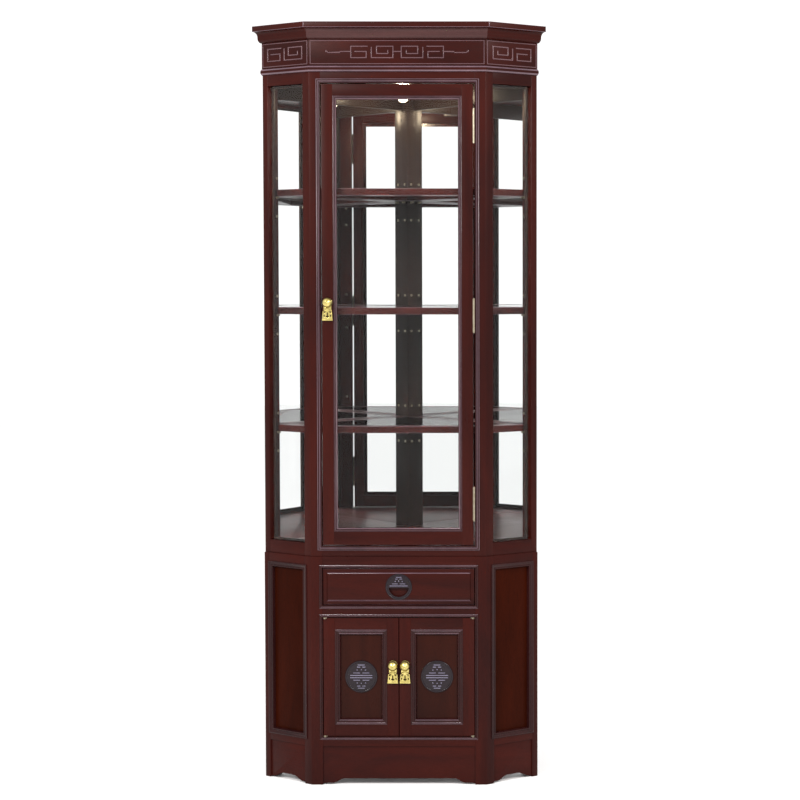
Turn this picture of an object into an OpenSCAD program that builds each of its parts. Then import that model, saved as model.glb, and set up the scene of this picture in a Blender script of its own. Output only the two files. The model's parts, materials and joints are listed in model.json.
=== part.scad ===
// Corner china cabinet with a canted front: a glazed display section on a wooden base.
// Millimetres, +Z up, the front faces -Y, and the two wall faces meet at the back corner.
// The origin is on the floor, under the middle of the bounding box.

/* [Overall] */
// Height to the top of the crown
cabinet_h = 1980; // [1900:10:2400]
// Height of the base section
base_h = 600; // [560:10:760]
// Width of the front face
front_w = 456; // [380:4:560]
// Width over the outer corners of the display section
body_w = 720; // [660:4:880]
// How far the canted sides run back
cant_depth = 90; // [70:2:120]
// How far the base stands out from the display section
base_out = 3; // [1:0.5:6]
// How far the frieze stands out
frieze_out = 2; // [1:0.5:4]
// How far the crown stands out
crown_out = 33; // [24:1:45]

/* [Posts and rails] */
// Width of a front post on the front face
post_face_w = 29; // [24:1:40]
// Width of a front post on the canted side
post_cant_w = 22; // [18:1:32]
// Thickness of a front post
post_t = 25; // [21:1:34]
// Thickness of the frames along the walls
wall_t = 17; // [15:0.5:24]
// Width of an outer post along its wall
outer_post_w = 38; // [30:1:50]
// Side of the square back post
back_post_w = 40; // [32:1:54]
// Thickness of rails and aprons
rail_t = 20; // [16:1:21]
// Thickness of the wooden boards
board_t = 16; // [12:1:20]

/* [Base section] */
// Height of the aprons' lower edges
apron_z = 16; // [8:1:30]
// Height of the ears at the aprons' ends
apron_ear_z = 4.5; // [2:0.5:7]
// How far the aprons lie behind the posts
apron_in = 3; // [1:0.5:5]
// Bottom of the base's bottom rail
bottom_rail_z = 101; // [80:1:120]
// Bottom of the cupboard opening
cupboard_z = 127; // [120:1:150]
// Top of the cupboard opening
cupboard_top = 441; // [400:1:470]
// Height of the drawer opening
drawer_open_h = 98; // [80:1:120]
// Height of the rail between cupboard and drawer
divider_h = 31; // [27:1:40]
// Width of the beads round the base openings
base_bead_w = 8; // [6:0.5:10]
// How far the base beads stand out
base_bead_out = 2; // [1:0.5:3]
// Width of the frames round the side panels
panel_bead_w = 15; // [10:1:20]
// Width of a post's edge beside the side panel
panel_margin = 14; // [10:1:18]
// Thickness of the side panels
panel_t = 8; // [5:0.5:12]

/* [Display section] */
// Height of the bottom rails
sill_h = 28; // [22:1:40]
// Height of the top rails
head_h = 46; // [36:1:58]
// Height of the cornice, from the top rails to the top
cornice_h = 108; // [96:1:150]
// Height of the crown moulding
crown_h = 42; // [34:1:56]
// Width of the bead round the glass door
opening_bead_w = 12; // [8:1:14]
// How far that bead stands out
opening_bead_out = 4; // [2:0.5:6]
// Thickness of glass
glass_t = 4; // [3:0.5:6]
// Width of the glazing beads
glazing_w = 7; // [5:0.5:10]
// Thickness of the mirrors
mirror_t = 5; // [4:0.5:6]
// Thickness of the back boards
back_t = 6; // [4:0.5:9]
// Height of the rails above and below the mirrors
mirror_rail_h = 42; // [30:1:60]
// Diameter of the half-round moulding under the frieze
astragal_d = 18; // [12:1:22]
// Height of the crown's square cap
cap_h = 14.5; // [10:0.5:18]

/* [Shelves] */
// Number of shelves
shelf_n = 3; // [1:1:4]
// Thickness of a shelf
shelf_t = 18; // [14:1:24]
// Width of a shelf's wooden border
shelf_border = 42; // [30:1:60]
// Thickness of the glass in a shelf
shelf_glass_t = 5; // [4:0.5:8]
// Gap round a shelf
shelf_gap = 1.5; // [1:0.5:4]
// How much taller each compartment is than the last
shelf_lift = 8; // [0:1:20]
// Distance between shelf pin holes
pin_pitch = 50; // [32:1:64]
// Radius of a shelf pin
pin_r = 2.5; // [2:0.1:3.5]

/* [Glass door] */
// Thickness of the doors and the drawer front
door_t = 20; // [18:1:24]
// Gap at the free edges of doors and drawer
gap = 2; // [1.5:0.5:3]
// Gap at the hinged edge of the glass door
hinge_gap = 4.5; // [4:0.5:6]
// Width of the glass door's stiles
stile_w = 29; // [24:1:40]
// Height of its top rail
door_head_h = 30; // [24:1:45]
// Height of its bottom rail
door_sill_h = 35; // [28:1:60]
// Width of its inner bead
door_bead_w = 10; // [7:0.5:14]
// How far the glass door opens
door_swing = 105; // [80:5:110]

/* [Base doors and drawer] */
// Width of the base doors' frame members
base_stile_w = 30; // [26:1:36]
// Width of their panel moulding
moulding_w = 15; // [11:1:18]
// How far that moulding stands out
moulding_out = 1.5; // [0.5:0.5:3]
// Diameter of the carved roundels on the doors
roundel_d = 84; // [60:1:88]
// Height of the roundels' relief
roundel_h = 4; // [2:0.5:5]
// Diameter of the drawer's roundel
drawer_roundel_d = 69; // [50:1:74]
// How far the base doors open
base_swing = 110; // [80:5:120]
// Depth of the drawer box
drawer_depth = 205; // [150:5:220]
// Height of the drawer box
drawer_side_h = 76; // [50:1:80]
// Thickness of the drawer's sides
drawer_side_t = 10; // [8:1:14]
// Thickness of the drawer's bottom
drawer_bottom_t = 5; // [4:0.5:8]
// How far the drawer pulls out
drawer_travel = 165; // [100:5:170]

/* [Brass] */
// Length of a butt hinge
hinge_l = 86; // [60:1:100]
// Radius of a hinge's knuckles
knuckle_r = 2.1; // [2:0.05:2.2]
// Radius of a hinge pin
hinge_pin_r = 1.2; // [1:0.1:1.4]
// Running clearance of a pin in its hole
pin_clear = 0.05; // [0.03:0.01:0.1]
// Thickness of the hinge leaves
leaf_t = 1.2; // [0.8:0.1:1.6]
// Width of a hinge leaf
leaf_w = 15; // [12:1:17]
// Diameter of a pull's knob
knob_d = 26; // [20:1:30]
// Width of a pull's drop plate
drop_w = 28; // [20:1:28]
// Height of a pull's drop plate
drop_h = 31; // [24:1:40]
// Height of the glass door's pull
door_pull_z = 1261; // [900:1:1400]
// Height of the base doors' pulls below their tops
base_pull_drop = 124; // [90:1:160]

/* [Lamp] */
// Outer diameter of the lamp in the ceiling
lamp_d = 68; // [50:2:90]
// Depth of its housing
lamp_h = 30; // [22:1:34]
// Hole in the grommet for the lamp's cord
grommet_r = 6; // [4:0.5:8]

/* [Hidden] */
$fn = 48;
WOOD = "#4a1e1c";
DARK_WOOD = "#35151a";
BRASS = "#c9a24a";
GLASS = [0.85, 0.92, 0.92, 0.3];
MIRROR = [0.8, 0.83, 0.85];

// The plan, seen from above. The cabinet's depth runs from the crown to the back corner.
depth = cant_depth + body_w / 2;
front_y = -(depth - crown_out) / 2;
back_y = front_y + depth;
cant_run = (body_w - front_w) / 2;
cant_a = atan(cant_depth / cant_run);
cant_len = norm([cant_run, cant_depth]);
wall_a = 135 - cant_a;
wall_len = body_w / sqrt(2);
base_y = front_y - base_out;
open_half = front_w / 2 - post_face_w;

// Heights that follow from the driving sizes
drawer_z = cupboard_top + divider_h;
drawer_top = drawer_z + drawer_open_h;
cornice_z = cabinet_h - cornice_h;
opening_z = base_h + sill_h;
opening_top = cornice_z - head_h;
side_open_z = opening_z + 6;
floor_top = opening_z;
ceiling_z = opening_top + 9;
mirror_top = ceiling_z - mirror_rail_h;
crown_z = cabinet_h - crown_h;
mirror_face = back_t + mirror_t + 2;
door_z = opening_z + gap;
door_top = opening_top - gap;
door_left = -open_half + gap;
door_right = open_half - hinge_gap;
base_door_w = open_half - 1.5 * gap;
base_door_z = cupboard_z + gap;
base_door_top = cupboard_top - gap;
base_door_mid = (base_door_z + base_door_top) / 2;
glass_in = 8;
panel_in = 9;
slide_gap = 0.3;
// Gap between pieces that are glued edge to edge in one node
glue = 0.1;
leaf_proud = 0.2;
catch_h = 8;

// ---- plan helpers ----

// A point of the right canted side: u along it, v inwards
function cant_pt(u, v) = [front_w / 2 + u * cos(cant_a) - v * sin(cant_a),
    front_y + u * sin(cant_a) + v * cos(cant_a)];

// Where a line v inside the canted side meets a line w inside the wall
function wall_u(v, w) = cant_len + (v * cos(wall_a) - w) / sin(wall_a);

// Where a line f inside the front meets a line c inside the canted side
function front_u(f, c) = (f - c * cos(cant_a)) / sin(cant_a);

function front_corner(f, c) = cant_pt(front_u(f, c), c);
function outer_corner(c, w) = cant_pt(wall_u(c, w), c);
function flip(p) = [-p[0], p[1]];

// The cabinet's outline, moved in by f at the front, c at the cants and w at the walls
function outline(f, c, w) = [flip(front_corner(f, c)), front_corner(f, c), outer_corner(c, w),
    [0, back_y - w * sqrt(2)], flip(outer_corner(c, w))];

module slab(f, c, w, z0, z1) {
    translate([0, 0, z0]) linear_extrude(z1 - z0) polygon(outline(f, c, w));
}

module both() {
    children();
    mirror([1, 0, 0]) children();
}

// Local frame of the right canted side: X along it from the front corner, Y inwards
module on_cant() {
    translate([front_w / 2, front_y, 0]) rotate([0, 0, cant_a]) children();
}

// Local frame of the right wall: X along it from the outer corner, Y inwards
module on_wall() {
    translate([body_w / 2, front_y + cant_depth, 0]) rotate([0, 0, 135]) children();
}

module box(x0, x1, y0, y1, z0, z1) {
    translate([x0, y0, z0]) cube([x1 - x0, y1 - y0, z1 - z0]);
}

// A flat frame that stands in the XZ plane
module ring(x0, x1, z0, z1, y0, y1, w) {
    difference() {
        box(x0, x1, y0, y1, z0, z1);
        box(x0 + w, x1 - w, y0 - 1, y1 + 1, z0 + w, z1 - w);
    }
}

// The same frame, cut into four sticks by a saw cut in each corner
module mitred_ring(x0, x1, z0, z1, y0, y1, w) {
    difference() {
        ring(x0, x1, z0, z1, y0, y1, w);
        for (c = [[x0, z0, -45], [x1, z0, -135], [x1, z1, 135], [x0, z1, 45]])
            translate([c[0], y0 - 1, c[1]]) rotate([0, c[2], 0]) translate([-1, 0, -glue / 2])
                cube([1.5 * w + 2, y1 - y0 + 2, glue]);
    }
}

// ---- posts, shared by the base and the display section ----

// Right front post, out from the plan by out and grown on its inner sides by grow
module front_post(out, grow, z0, z1) {
    corner = front_corner(-out, -out);
    u0 = front_u(-out, -out);
    translate([0, 0, z0]) linear_extrude(z1 - z0) polygon([
        [open_half - grow, corner[1]],
        corner,
        cant_pt(post_cant_w + grow, -out),
        cant_pt(post_cant_w + grow, post_t + grow),
        [open_half - grow, front_y + post_t + grow]]);
}

module outer_post(out, grow, z0, z1) {
    wall_in = outer_post_w + grow;
    tip = outer_corner(-out, 0);
    s = sqrt(0.5);
    far = [body_w / 2 - wall_in * s, front_y + cant_depth + wall_in * s];
    translate([0, 0, z0]) linear_extrude(z1 - z0) polygon([
        tip, far,
        [far[0] - (wall_t + grow) * s, far[1] - (wall_t + grow) * s],
        outer_corner(-out, wall_t + grow)]);
}

module back_post(grow, z0, z1) {
    side = back_post_w + grow;
    translate([0, back_y, z0]) rotate([0, 0, 225]) cube([side, side, z1 - z0]);
}

// All five posts, used to notch the boards round them
module post_notches(out, grow, z0, z1) {
    both() {
        front_post(out, grow, z0, z1);
        outer_post(out, grow, z0, z1);
    }
    back_post(grow, z0, z1);
}

// A rail in the right canted side, between its posts
module cant_rail(out, z0, z1) {
    translate([0, 0, z0]) linear_extrude(z1 - z0) polygon([
        cant_pt(post_cant_w, -out),
        outer_corner(-out, wall_t),
        outer_corner(rail_t - out, wall_t),
        cant_pt(post_cant_w, rail_t - out)]);
}

// ---- base section ----

module base_front_posts() {
    color(WOOD) both() front_post(base_out, 0, 0, base_h);
}

module base_outer_posts() {
    color(WOOD) both() outer_post(base_out, 0, 0, base_h);
}

module base_back_post() {
    color(WOOD) back_post(0, 0, base_h);
}

module base_side_rails() {
    cant_rail(base_out, drawer_top, base_h);
    cant_rail(base_out, bottom_rail_z, cupboard_z);
}

// Three rails in front and two in each side
module base_rails() {
    y1 = base_y + rail_t;
    color(WOOD) {
        box(-open_half, open_half, base_y, y1, drawer_top, base_h);
        box(-open_half, open_half, base_y, y1, cupboard_top, drawer_z);
        box(-open_half, open_half, base_y, y1, bottom_rail_z, cupboard_z);
        both() base_side_rails();
    }
}

module base_beads() {
    w = base_bead_w;
    y0 = base_y - base_bead_out;
    color(DARK_WOOD) {
        ring(-open_half - w, open_half + w, drawer_z - w, drawer_top + w, y0, base_y, w);
        ring(-open_half - w, open_half + w, cupboard_z - w, cupboard_top + w, y0, base_y, w);
    }
}

// An apron of a given half width, in its own plane: a step, an ear, then a rise in a soft curve
module apron_board(half, ear, rise) {
    up = apron_z - apron_ear_z;
    edge = concat([[half, apron_ear_z - 2.5], [half - 4, apron_ear_z]],
        [for (i = [0 : 12]) let (t = i / 12)
            [half - ear - rise * t, apron_ear_z + up * (1 - cos(180 * t)) / 2]]);
    top = bottom_rail_z;
    rotate([90, 0, 0]) translate([0, 0, 1 - rail_t]) linear_extrude(rail_t - 1 - apron_in)
        polygon(concat([[half, top]], edge,
            [for (i = [len(edge) - 1 : -1 : 0]) flip(edge[i])], [[-half, top]]));
}

module front_apron() {
    color(WOOD) translate([0, base_y, 0]) apron_board(open_half, 24, 32);
}

// The side aprons end on the outer posts' slanting faces
module side_aprons() {
    u1 = wall_u(-base_out, wall_t);
    color(WOOD) both() difference() {
        on_cant() translate([(post_cant_w + u1) / 2, -base_out, 0])
            apron_board((u1 - post_cant_w) / 2, 10, 34);
        on_wall() box(-outer_post_w, 2 * outer_post_w, 0, wall_t, -1, bottom_rail_z + 1);
    }
}

module side_panels() {
    v0 = panel_in - base_out;
    color(DARK_WOOD) both() translate([0, 0, cupboard_z]) linear_extrude(drawer_top - cupboard_z)
        polygon([cant_pt(post_cant_w, v0), outer_corner(v0, wall_t),
            outer_corner(v0 + panel_t, wall_t), cant_pt(post_cant_w, v0 + panel_t)]);
}

// The frames lie on the posts' edges and stand on the panels
module side_panel_beads() {
    u0 = front_u(-base_out, -base_out) + panel_margin;
    u1 = wall_u(-base_out, 0) - panel_margin;
    color(WOOD) both() difference() {
        on_cant() ring(u0, u1, cupboard_z - base_bead_w, drawer_top + base_bead_w,
            -base_out - base_bead_out, panel_in - base_out, panel_bead_w);
        front_post(base_out, 0, 0, base_h);
        outer_post(base_out, 0, 0, base_h);
        base_side_rails();
    }
}

module base_back_panels() {
    color(DARK_WOOD) both() on_wall()
        box(outer_post_w, wall_len - back_post_w, 2, 2 + back_t, bottom_rail_z, base_h - board_t);
}

module base_floor() {
    color(WOOD) difference() {
        slab(rail_t - base_out, rail_t - base_out, 2 + back_t, cupboard_z - board_t, cupboard_z);
        post_notches(base_out, 0, 0, base_h);
    }
}

module base_deck() {
    color(WOOD) difference() {
        slab(rail_t - base_out, rail_t - base_out, 2, base_h - board_t, base_h);
        post_notches(base_out, 0, 0, base_h + 1);
    }
}

// Each side has a runner under the drawer and a guide beside it
runner_top = drawer_z + 5;
drawer_half = open_half - 11;
module drawer_runners() {
    color(WOOD) difference() {
        intersection() {
            slab(post_t, post_t, 2 + back_t, 0, base_h);
            both() {
                box(drawer_half - drawer_side_t - 6, open_half + 6, base_y, back_y,
                    runner_top - 20, runner_top);
                box(drawer_half + 1, open_half + 6, base_y, back_y,
                    runner_top + glue, runner_top + 22);
            }
        }
        post_notches(base_out, glue, 0, base_h);
    }
}

// ---- display section ----

// One row of holes or pins along a post: at the heights of each shelf, one pitch up and down
shelf_pitch = (ceiling_z - floor_top) / (shelf_n + 1) + shelf_lift;
function shelf_bottom(i) = floor_top + shelf_pitch * i - shelf_t;
function pin_z(i) = shelf_bottom(i) - pin_r;

// The middles of the posts' inner faces, each with the way its pins point, on the right side
post_face = [cant_pt(post_cant_w, post_t), [open_half, front_y + post_t]];
face_d = (post_face[0] - post_face[1]) / norm(post_face[0] - post_face[1]);
front_pin_at = (post_face[0] + post_face[1]) / 2;
front_pin_a = atan2(face_d[0], -face_d[1]);
sleeve_r = pin_r + 1;
outer_mid = outer_post_w - sleeve_r - 1.5;
s45 = sqrt(0.5);
outer_pin_at = [body_w / 2 - (outer_mid + wall_t) * s45,
    front_y + cant_depth + (outer_mid - wall_t) * s45];
back_mid = back_post_w - 13;
back_pin_at = [(back_post_w - back_mid) * s45, back_y - (back_post_w + back_mid) * s45];

// Lays a child that points along +X on each of the posts' pin columns
module pin_columns() {
    both() {
        translate(front_pin_at) rotate([0, 0, front_pin_a]) children();
        translate(outer_pin_at) rotate([0, 0, 225]) children();
        translate(back_pin_at) rotate([0, 0, -45]) children();
    }
}

module pin_bores(r) {
    pin_columns() for (i = [1 : shelf_n], k = [-1 : 1])
        translate([-9, 0, pin_z(i) + k * pin_pitch]) rotate([0, 90, 0]) cylinder(r = r, h = 12);
}

module upper_front_posts() {
    color(WOOD) difference() {
        both() front_post(0, 0, base_h, cornice_z);
        pin_bores(sleeve_r);
        leaf_mortise(open_half - 1, open_half + leaf_t - leaf_proud);
    }
}

module upper_outer_posts() {
    color(WOOD) difference() {
        both() outer_post(0, 0, base_h, cornice_z);
        pin_bores(sleeve_r);
    }
}

module upper_back_post() {
    color(WOOD) difference() {
        back_post(0, base_h, cornice_z);
        pin_bores(sleeve_r);
    }
}

// Two rails in front and two in each side
module upper_rails() {
    y1 = front_y + rail_t;
    color(WOOD) {
        box(-open_half, open_half, front_y, y1, base_h, opening_z);
        box(-open_half, open_half, front_y, y1, opening_top, cornice_z);
        both() {
            cant_rail(0, base_h, side_open_z);
            cant_rail(0, opening_top, cornice_z);
        }
    }
}

// Rails over and under the mirrors, along both walls
module mirror_rails() {
    color(WOOD) both() on_wall() {
        box(outer_post_w, wall_len - back_post_w, 2 + back_t, wall_t, mirror_top, cornice_z);
        box(outer_post_w, wall_len - back_post_w, 2 + back_t, wall_t, base_h, floor_top - board_t);
    }
}

module opening_bead() {
    w = opening_bead_w;
    color(DARK_WOOD) ring(-open_half - w, open_half + w, opening_z - w, opening_top + w,
        front_y - opening_bead_out, front_y, w);
}

module side_glass() {
    color(GLASS) both() translate([0, 0, side_open_z]) linear_extrude(opening_top - side_open_z)
        polygon([cant_pt(post_cant_w, glass_in), outer_corner(glass_in, wall_t),
            outer_corner(glass_in + glass_t, wall_t), cant_pt(post_cant_w, glass_in + glass_t)]);
}

// A frame behind each side pane holds the glass
module glazing_beads() {
    v0 = glass_in + glass_t;
    u1 = wall_u(v0 + glazing_w, wall_t);
    color(DARK_WOOD) both() on_cant()
        ring(post_cant_w, u1, side_open_z, opening_top, v0, v0 + glazing_w, glazing_w);
}

module display_floor() {
    color(WOOD) difference() {
        slab(rail_t, rail_t, 2 + back_t, floor_top - board_t, floor_top);
        post_notches(0, 0, base_h, cornice_z);
    }
}

lamp_y = front_y + depth * 0.48;
module ceiling_board() {
    color(WOOD) difference() {
        slab(rail_t, rail_t, wall_t, ceiling_z, ceiling_z + board_t);
        post_notches(0, 0, base_h, cornice_z);
        translate([0, lamp_y, ceiling_z - 1]) cylinder(r = lamp_d / 2, h = board_t + 2);
    }
}

module mirrors() {
    color(MIRROR) both() on_wall()
        box(outer_post_w, wall_len - back_post_w, 2 + back_t, mirror_face,
            floor_top, mirror_top);
}

grommet_z = cornice_z + 40;
grommet_u = wall_len * 0.7;
module back_boards() {
    color(DARK_WOOD) difference() {
        union() {
            both() on_wall() box(outer_post_w, wall_len - back_post_w, 2, 2 + back_t,
                base_h, cornice_z - glue);
            on_wall() box(frieze_out, wall_len - 2, 2, 2 + back_t,
                cornice_z, cabinet_h - board_t);
            mirror([1, 0, 0]) on_wall() box(frieze_out, wall_len - 2 - back_t - glue,
                2, 2 + back_t, cornice_z, cabinet_h - board_t);
        }
        grommet_bore(grommet_r + 3);
    }
}

module grommet_bore(r) {
    mirror([1, 0, 0]) on_wall() translate([grommet_u, -1, grommet_z])
        rotate([-90, 0, 0]) cylinder(r = r, h = back_t + 6);
}

function shelf_edge(inset) = outline(post_t + shelf_gap + 4 + inset,
    glass_in + glass_t + glazing_w + shelf_gap + 6 + inset, wall_t + shelf_gap + inset);

module shelf_outline(inset, z0, z1) {
    translate([0, 0, z0]) linear_extrude(z1 - z0) polygon(shelf_edge(inset));
}

// The mitre from a corner of the shelf's edge to the same corner of its inner edge
module shelf_mitre(p, q, z0) {
    d = q - p;
    translate([p[0], p[1], z0 - 1]) rotate([0, 0, atan2(d[1], d[0])])
        translate([-9, -glue / 2, 0]) cube([norm(d) + 18, glue, shelf_t + 2]);
}

// Five sticks with a rebate for the glass
module shelf_frame(z0) {
    lip = 6;
    difference() {
        shelf_outline(0, z0, z0 + shelf_t);
        post_notches(0, shelf_gap, z0 - 1, z0 + shelf_t + 1);
        shelf_outline(shelf_border, z0 - 1, z0 + shelf_t + 1);
        shelf_outline(shelf_border - lip, z0 + shelf_t - shelf_glass_t, z0 + shelf_t + 1);
        for (i = [0 : 4]) shelf_mitre(shelf_edge(0)[i], shelf_edge(shelf_border)[i], z0);
    }
}

module shelf_frames() {
    color(WOOD) for (i = [1 : shelf_n]) shelf_frame(shelf_bottom(i));
}

module shelf_glass() {
    lip = 5.5;
    color(GLASS) for (i = [1 : shelf_n])
        shelf_outline(shelf_border - lip, shelf_bottom(i) + shelf_t - shelf_glass_t,
            shelf_bottom(i) + shelf_t);
}

module shelf_pins() {
    color(BRASS) pin_columns() for (i = [1 : shelf_n]) translate([-8, 0, pin_z(i)])
        rotate([0, 90, 0]) cylinder(r = pin_r, h = 16);
}

module pin_sleeves() {
    color(BRASS) pin_columns() for (i = [1 : shelf_n], k = [-1 : 1])
        translate([-9, 0, pin_z(i) + k * pin_pitch]) rotate([0, 90, 0]) difference() {
            cylinder(r = sleeve_r, h = 9);
            translate([0, 0, -1]) cylinder(r = pin_r, h = 11);
        }
}

// ---- cornice ----

// The front strip, and the right canted strip, between two distances from the plan
module front_strip(out0, out1, z0, z1) {
    p0 = front_corner(-out0, -out0) - [glue, 0];
    p1 = front_corner(-out1, -out1) - [glue, 0];
    translate([0, 0, z0]) linear_extrude(z1 - z0) polygon([flip(p1), p1, p0, flip(p0)]);
}

module cant_strip(out0, out1, z0, z1) {
    translate([0, 0, z0]) linear_extrude(z1 - z0) polygon([
        front_corner(-out1, -out1), outer_corner(-out1, 0),
        outer_corner(-out0, 0), front_corner(-out0, -out0)]);
}

// A moulding round the front: its profile is in [distance out, height]
module front_moulding(profile) {
    far = crown_out + 5;
    intersection() {
        front_strip(0, far, 0, cabinet_h);
        translate([-body_w, front_y, 0]) rotate([90, 0, 90])
            linear_extrude(2 * body_w) mirror([1, 0, 0]) polygon(profile);
    }
    both() intersection() {
        cant_strip(0, far, 0, cabinet_h);
        on_cant() translate([-body_w, 0, 0]) rotate([90, 0, 90])
            linear_extrude(2 * body_w) mirror([1, 0, 0]) polygon(profile);
    }
}

function arc(cx, cy, r, a0, a1, n) = [for (i = [0 : n]) let (a = a0 + (a1 - a0) * i / n)
    [cx + r * cos(a), cy + r * sin(a)]];

module frieze_boards() {
    inner = frieze_out - rail_t;
    color(WOOD) {
        front_strip(inner, frieze_out, cornice_z, cabinet_h - board_t);
        both() difference() {
            cant_strip(inner, frieze_out, cornice_z, cabinet_h - board_t);
            on_wall() box(frieze_out, wall_len, -1, 2 + back_t, cornice_z - 1, cabinet_h);
        }
    }
}

module astragal() {
    r = astragal_d / 2;
    color(DARK_WOOD) front_moulding(concat([[0, cornice_z - 2 * r]],
        arc(-2, cornice_z - r, r, -75, 75, 14), [[0, cornice_z]]));
}

// Cap at the top, then a hollow, then a round down to the frieze
module crown() {
    cap_z = cabinet_h - cap_h;
    base = frieze_out;
    curves = min((crown_h - cap_h) * 0.96, crown_out - base - 4);
    round_r = curves * 0.47;
    hollow_r = curves * 0.53;
    color(WOOD) front_moulding(concat(
        [[base, crown_z], [base + 1, crown_z]],
        arc(base + 1, crown_z + round_r, round_r, -90, 0, 8),
        arc(base + 1 + round_r + hollow_r, cap_z - hollow_r, hollow_r, 180, 90, 8),
        [[crown_out, cap_z], [crown_out, cabinet_h], [base, cabinet_h]]));
}

module top_board() {
    color(WOOD) slab(-frieze_out, -frieze_out, 2, cabinet_h - board_t, cabinet_h);
}

// ---- lamp ----

module lamp_housing() {
    color("#b9b4a8") translate([0, lamp_y, ceiling_z]) difference() {
        union() {
            cylinder(r = lamp_d / 2, h = lamp_h);
            translate([0, 0, -3]) cylinder(r = lamp_d / 2 + 4, h = 3);
        }
        translate([0, 0, -4]) cylinder(r = lamp_d / 2 - 3, h = lamp_h + 1);
    }
}

module lamp_bulb() {
    color("#fff2cc") translate([0, lamp_y, ceiling_z + lamp_h - 3]) {
        translate([0, 0, -6]) cylinder(r = 8, h = 6);
        translate([0, 0, -17]) cylinder(r = 5, h = 11);
        translate([0, 0, -17]) sphere(r = 5);
    }
}

module cord_grommet() {
    color("#1c1a1a") mirror([1, 0, 0]) on_wall() translate([grommet_u, 0, grommet_z])
        rotate([-90, 0, 0]) difference() {
            union() {
                translate([0, 0, 0.5]) cylinder(r = grommet_r + 6, h = 1.5);
                translate([0, 0, 2]) cylinder(r = grommet_r + 3, h = back_t + 4);
            }
            cylinder(r = grommet_r, h = back_t + 8);
        }
}

// ---- catches and hinges ----

// Magnetic catches: a body behind the rail and a lip that meets the closed door
module catch(x, y, z) {
    box(x - 18, x + 18, y + rail_t, y + rail_t + 13, z, z + catch_h);
    box(x - 18, x + 18, y + door_t + 0.4, y + rail_t + 13, z - 12, z);
}

module door_catches() {
    color("#3c3836") {
        for (side = [-1, 1]) catch(side * 34, base_y, cupboard_top);
        catch(-open_half / 2, front_y, opening_top);
    }
}

// The glass door turns on three butt hinges at its right edge
hinge_x = open_half - hinge_gap / 2;
hinge_y = front_y - 0.5;
hinge_zs = [door_z + 107, (door_z + door_top) / 2, door_top - 107];
knuckle_l = hinge_l / 3;

module leaf_body(x0, x1, z) {
    box(x0, x1, front_y + 0.5, front_y + leaf_w, z - hinge_l / 2, z + hinge_l / 2);
}

module frame_leaf(z) {
    difference() {
        union() {
            leaf_body(open_half - leaf_proud, open_half - leaf_proud + leaf_t, z);
            for (side = [-1, 1]) translate([hinge_x, hinge_y, z + side * knuckle_l])
                cylinder(r = knuckle_r, h = knuckle_l - 0.4, center = true);
            for (side = [-1, 1]) translate([hinge_x, front_y - 0.5, z + side * knuckle_l])
                translate([0, 0, -knuckle_l / 2 + 0.2])
                    cube([hinge_gap / 2, 1.2, knuckle_l - 0.4]);
        }
        translate([hinge_x, hinge_y, z - hinge_l]) cylinder(r = hinge_pin_r, h = 2 * hinge_l);
    }
}

module door_leaf(z) {
    difference() {
        union() {
            leaf_body(door_right + leaf_proud - leaf_t, door_right + leaf_proud, z);
            translate([hinge_x, hinge_y, z])
                cylinder(r = knuckle_r, h = knuckle_l - 0.4, center = true);
            translate([door_right, front_y - 0.5, z - knuckle_l / 2 + 0.2])
                cube([hinge_gap / 2, 1.2, knuckle_l - 0.4]);
        }
        translate([hinge_x, hinge_y, z - hinge_l])
            cylinder(r = hinge_pin_r + pin_clear, h = 2 * hinge_l);
    }
}

module hinge_frame_leaves() {
    color(BRASS) for (z = hinge_zs) frame_leaf(z);
}

module hinge_door_leaves() {
    color(BRASS) for (z = hinge_zs) door_leaf(z);
}

module hinge_pins() {
    color(BRASS) for (z = hinge_zs) translate([hinge_x, hinge_y, z]) {
        cylinder(r = hinge_pin_r, h = hinge_l, center = true);
        for (side = [-1, 1]) translate([0, 0, side * (hinge_l / 2 + 1)])
            cylinder(r = knuckle_r, h = 2, center = true);
    }
}

// The base doors turn on pivot plates at their outer corners
pivot_x = open_half - gap - 4;
pivot_y = base_y - 2.5;
pivot_t = 1;
pivot_r = 1.5;

// z is the opening's edge, up is 1 where the plate lies on the lower edge
module pivot_plate(z, up) {
    z0 = up > 0 ? z : z - pivot_t;
    pivot_seat(z0);
    pivot_nose(z0);
    translate([pivot_x, pivot_y, up > 0 ? z0 : z0 - 3]) cylinder(r = pivot_r, h = 3 + pivot_t);
}

module pivot_seat(z0) {
    box(pivot_x - 5, pivot_x + 4, base_y, base_y + 16, z0, z0 + pivot_t);
}

module pivot_nose(z0) {
    translate([pivot_x, pivot_y, z0]) cylinder(r = 3.5, h = pivot_t);
    box(pivot_x - 3.5, pivot_x + 3.5, pivot_y, base_y, z0, z0 + pivot_t);
}

module pivot_plates() {
    color(BRASS) both() {
        pivot_plate(cupboard_z, 1);
        pivot_plate(cupboard_top, -1);
    }
}

// The doors' own plates lie in the doors' edges and turn on the pins
module door_pivots() {
    for (z0 = [base_door_z, base_door_top - pivot_t]) difference() {
        union() {
            pivot_seat(z0);
            pivot_nose(z0);
        }
        translate([pivot_x, pivot_y, z0 - 1]) cylinder(r = pivot_r + pin_clear, h = pivot_t + 2);
    }
}

module left_door_pivots() {
    color(BRASS) mirror([1, 0, 0]) door_pivots();
}

module right_door_pivots() {
    color(BRASS) door_pivots();
}

// ---- glass door ----

door_y1 = front_y + door_t;
glass_y = front_y + door_bead_w;

// Mortises for the hinge leaves
module leaf_mortise(x0, x1) {
    for (z = hinge_zs) box(x0, x1, front_y - 1, front_y + leaf_w,
        z - hinge_l / 2, z + hinge_l / 2);
}

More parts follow.
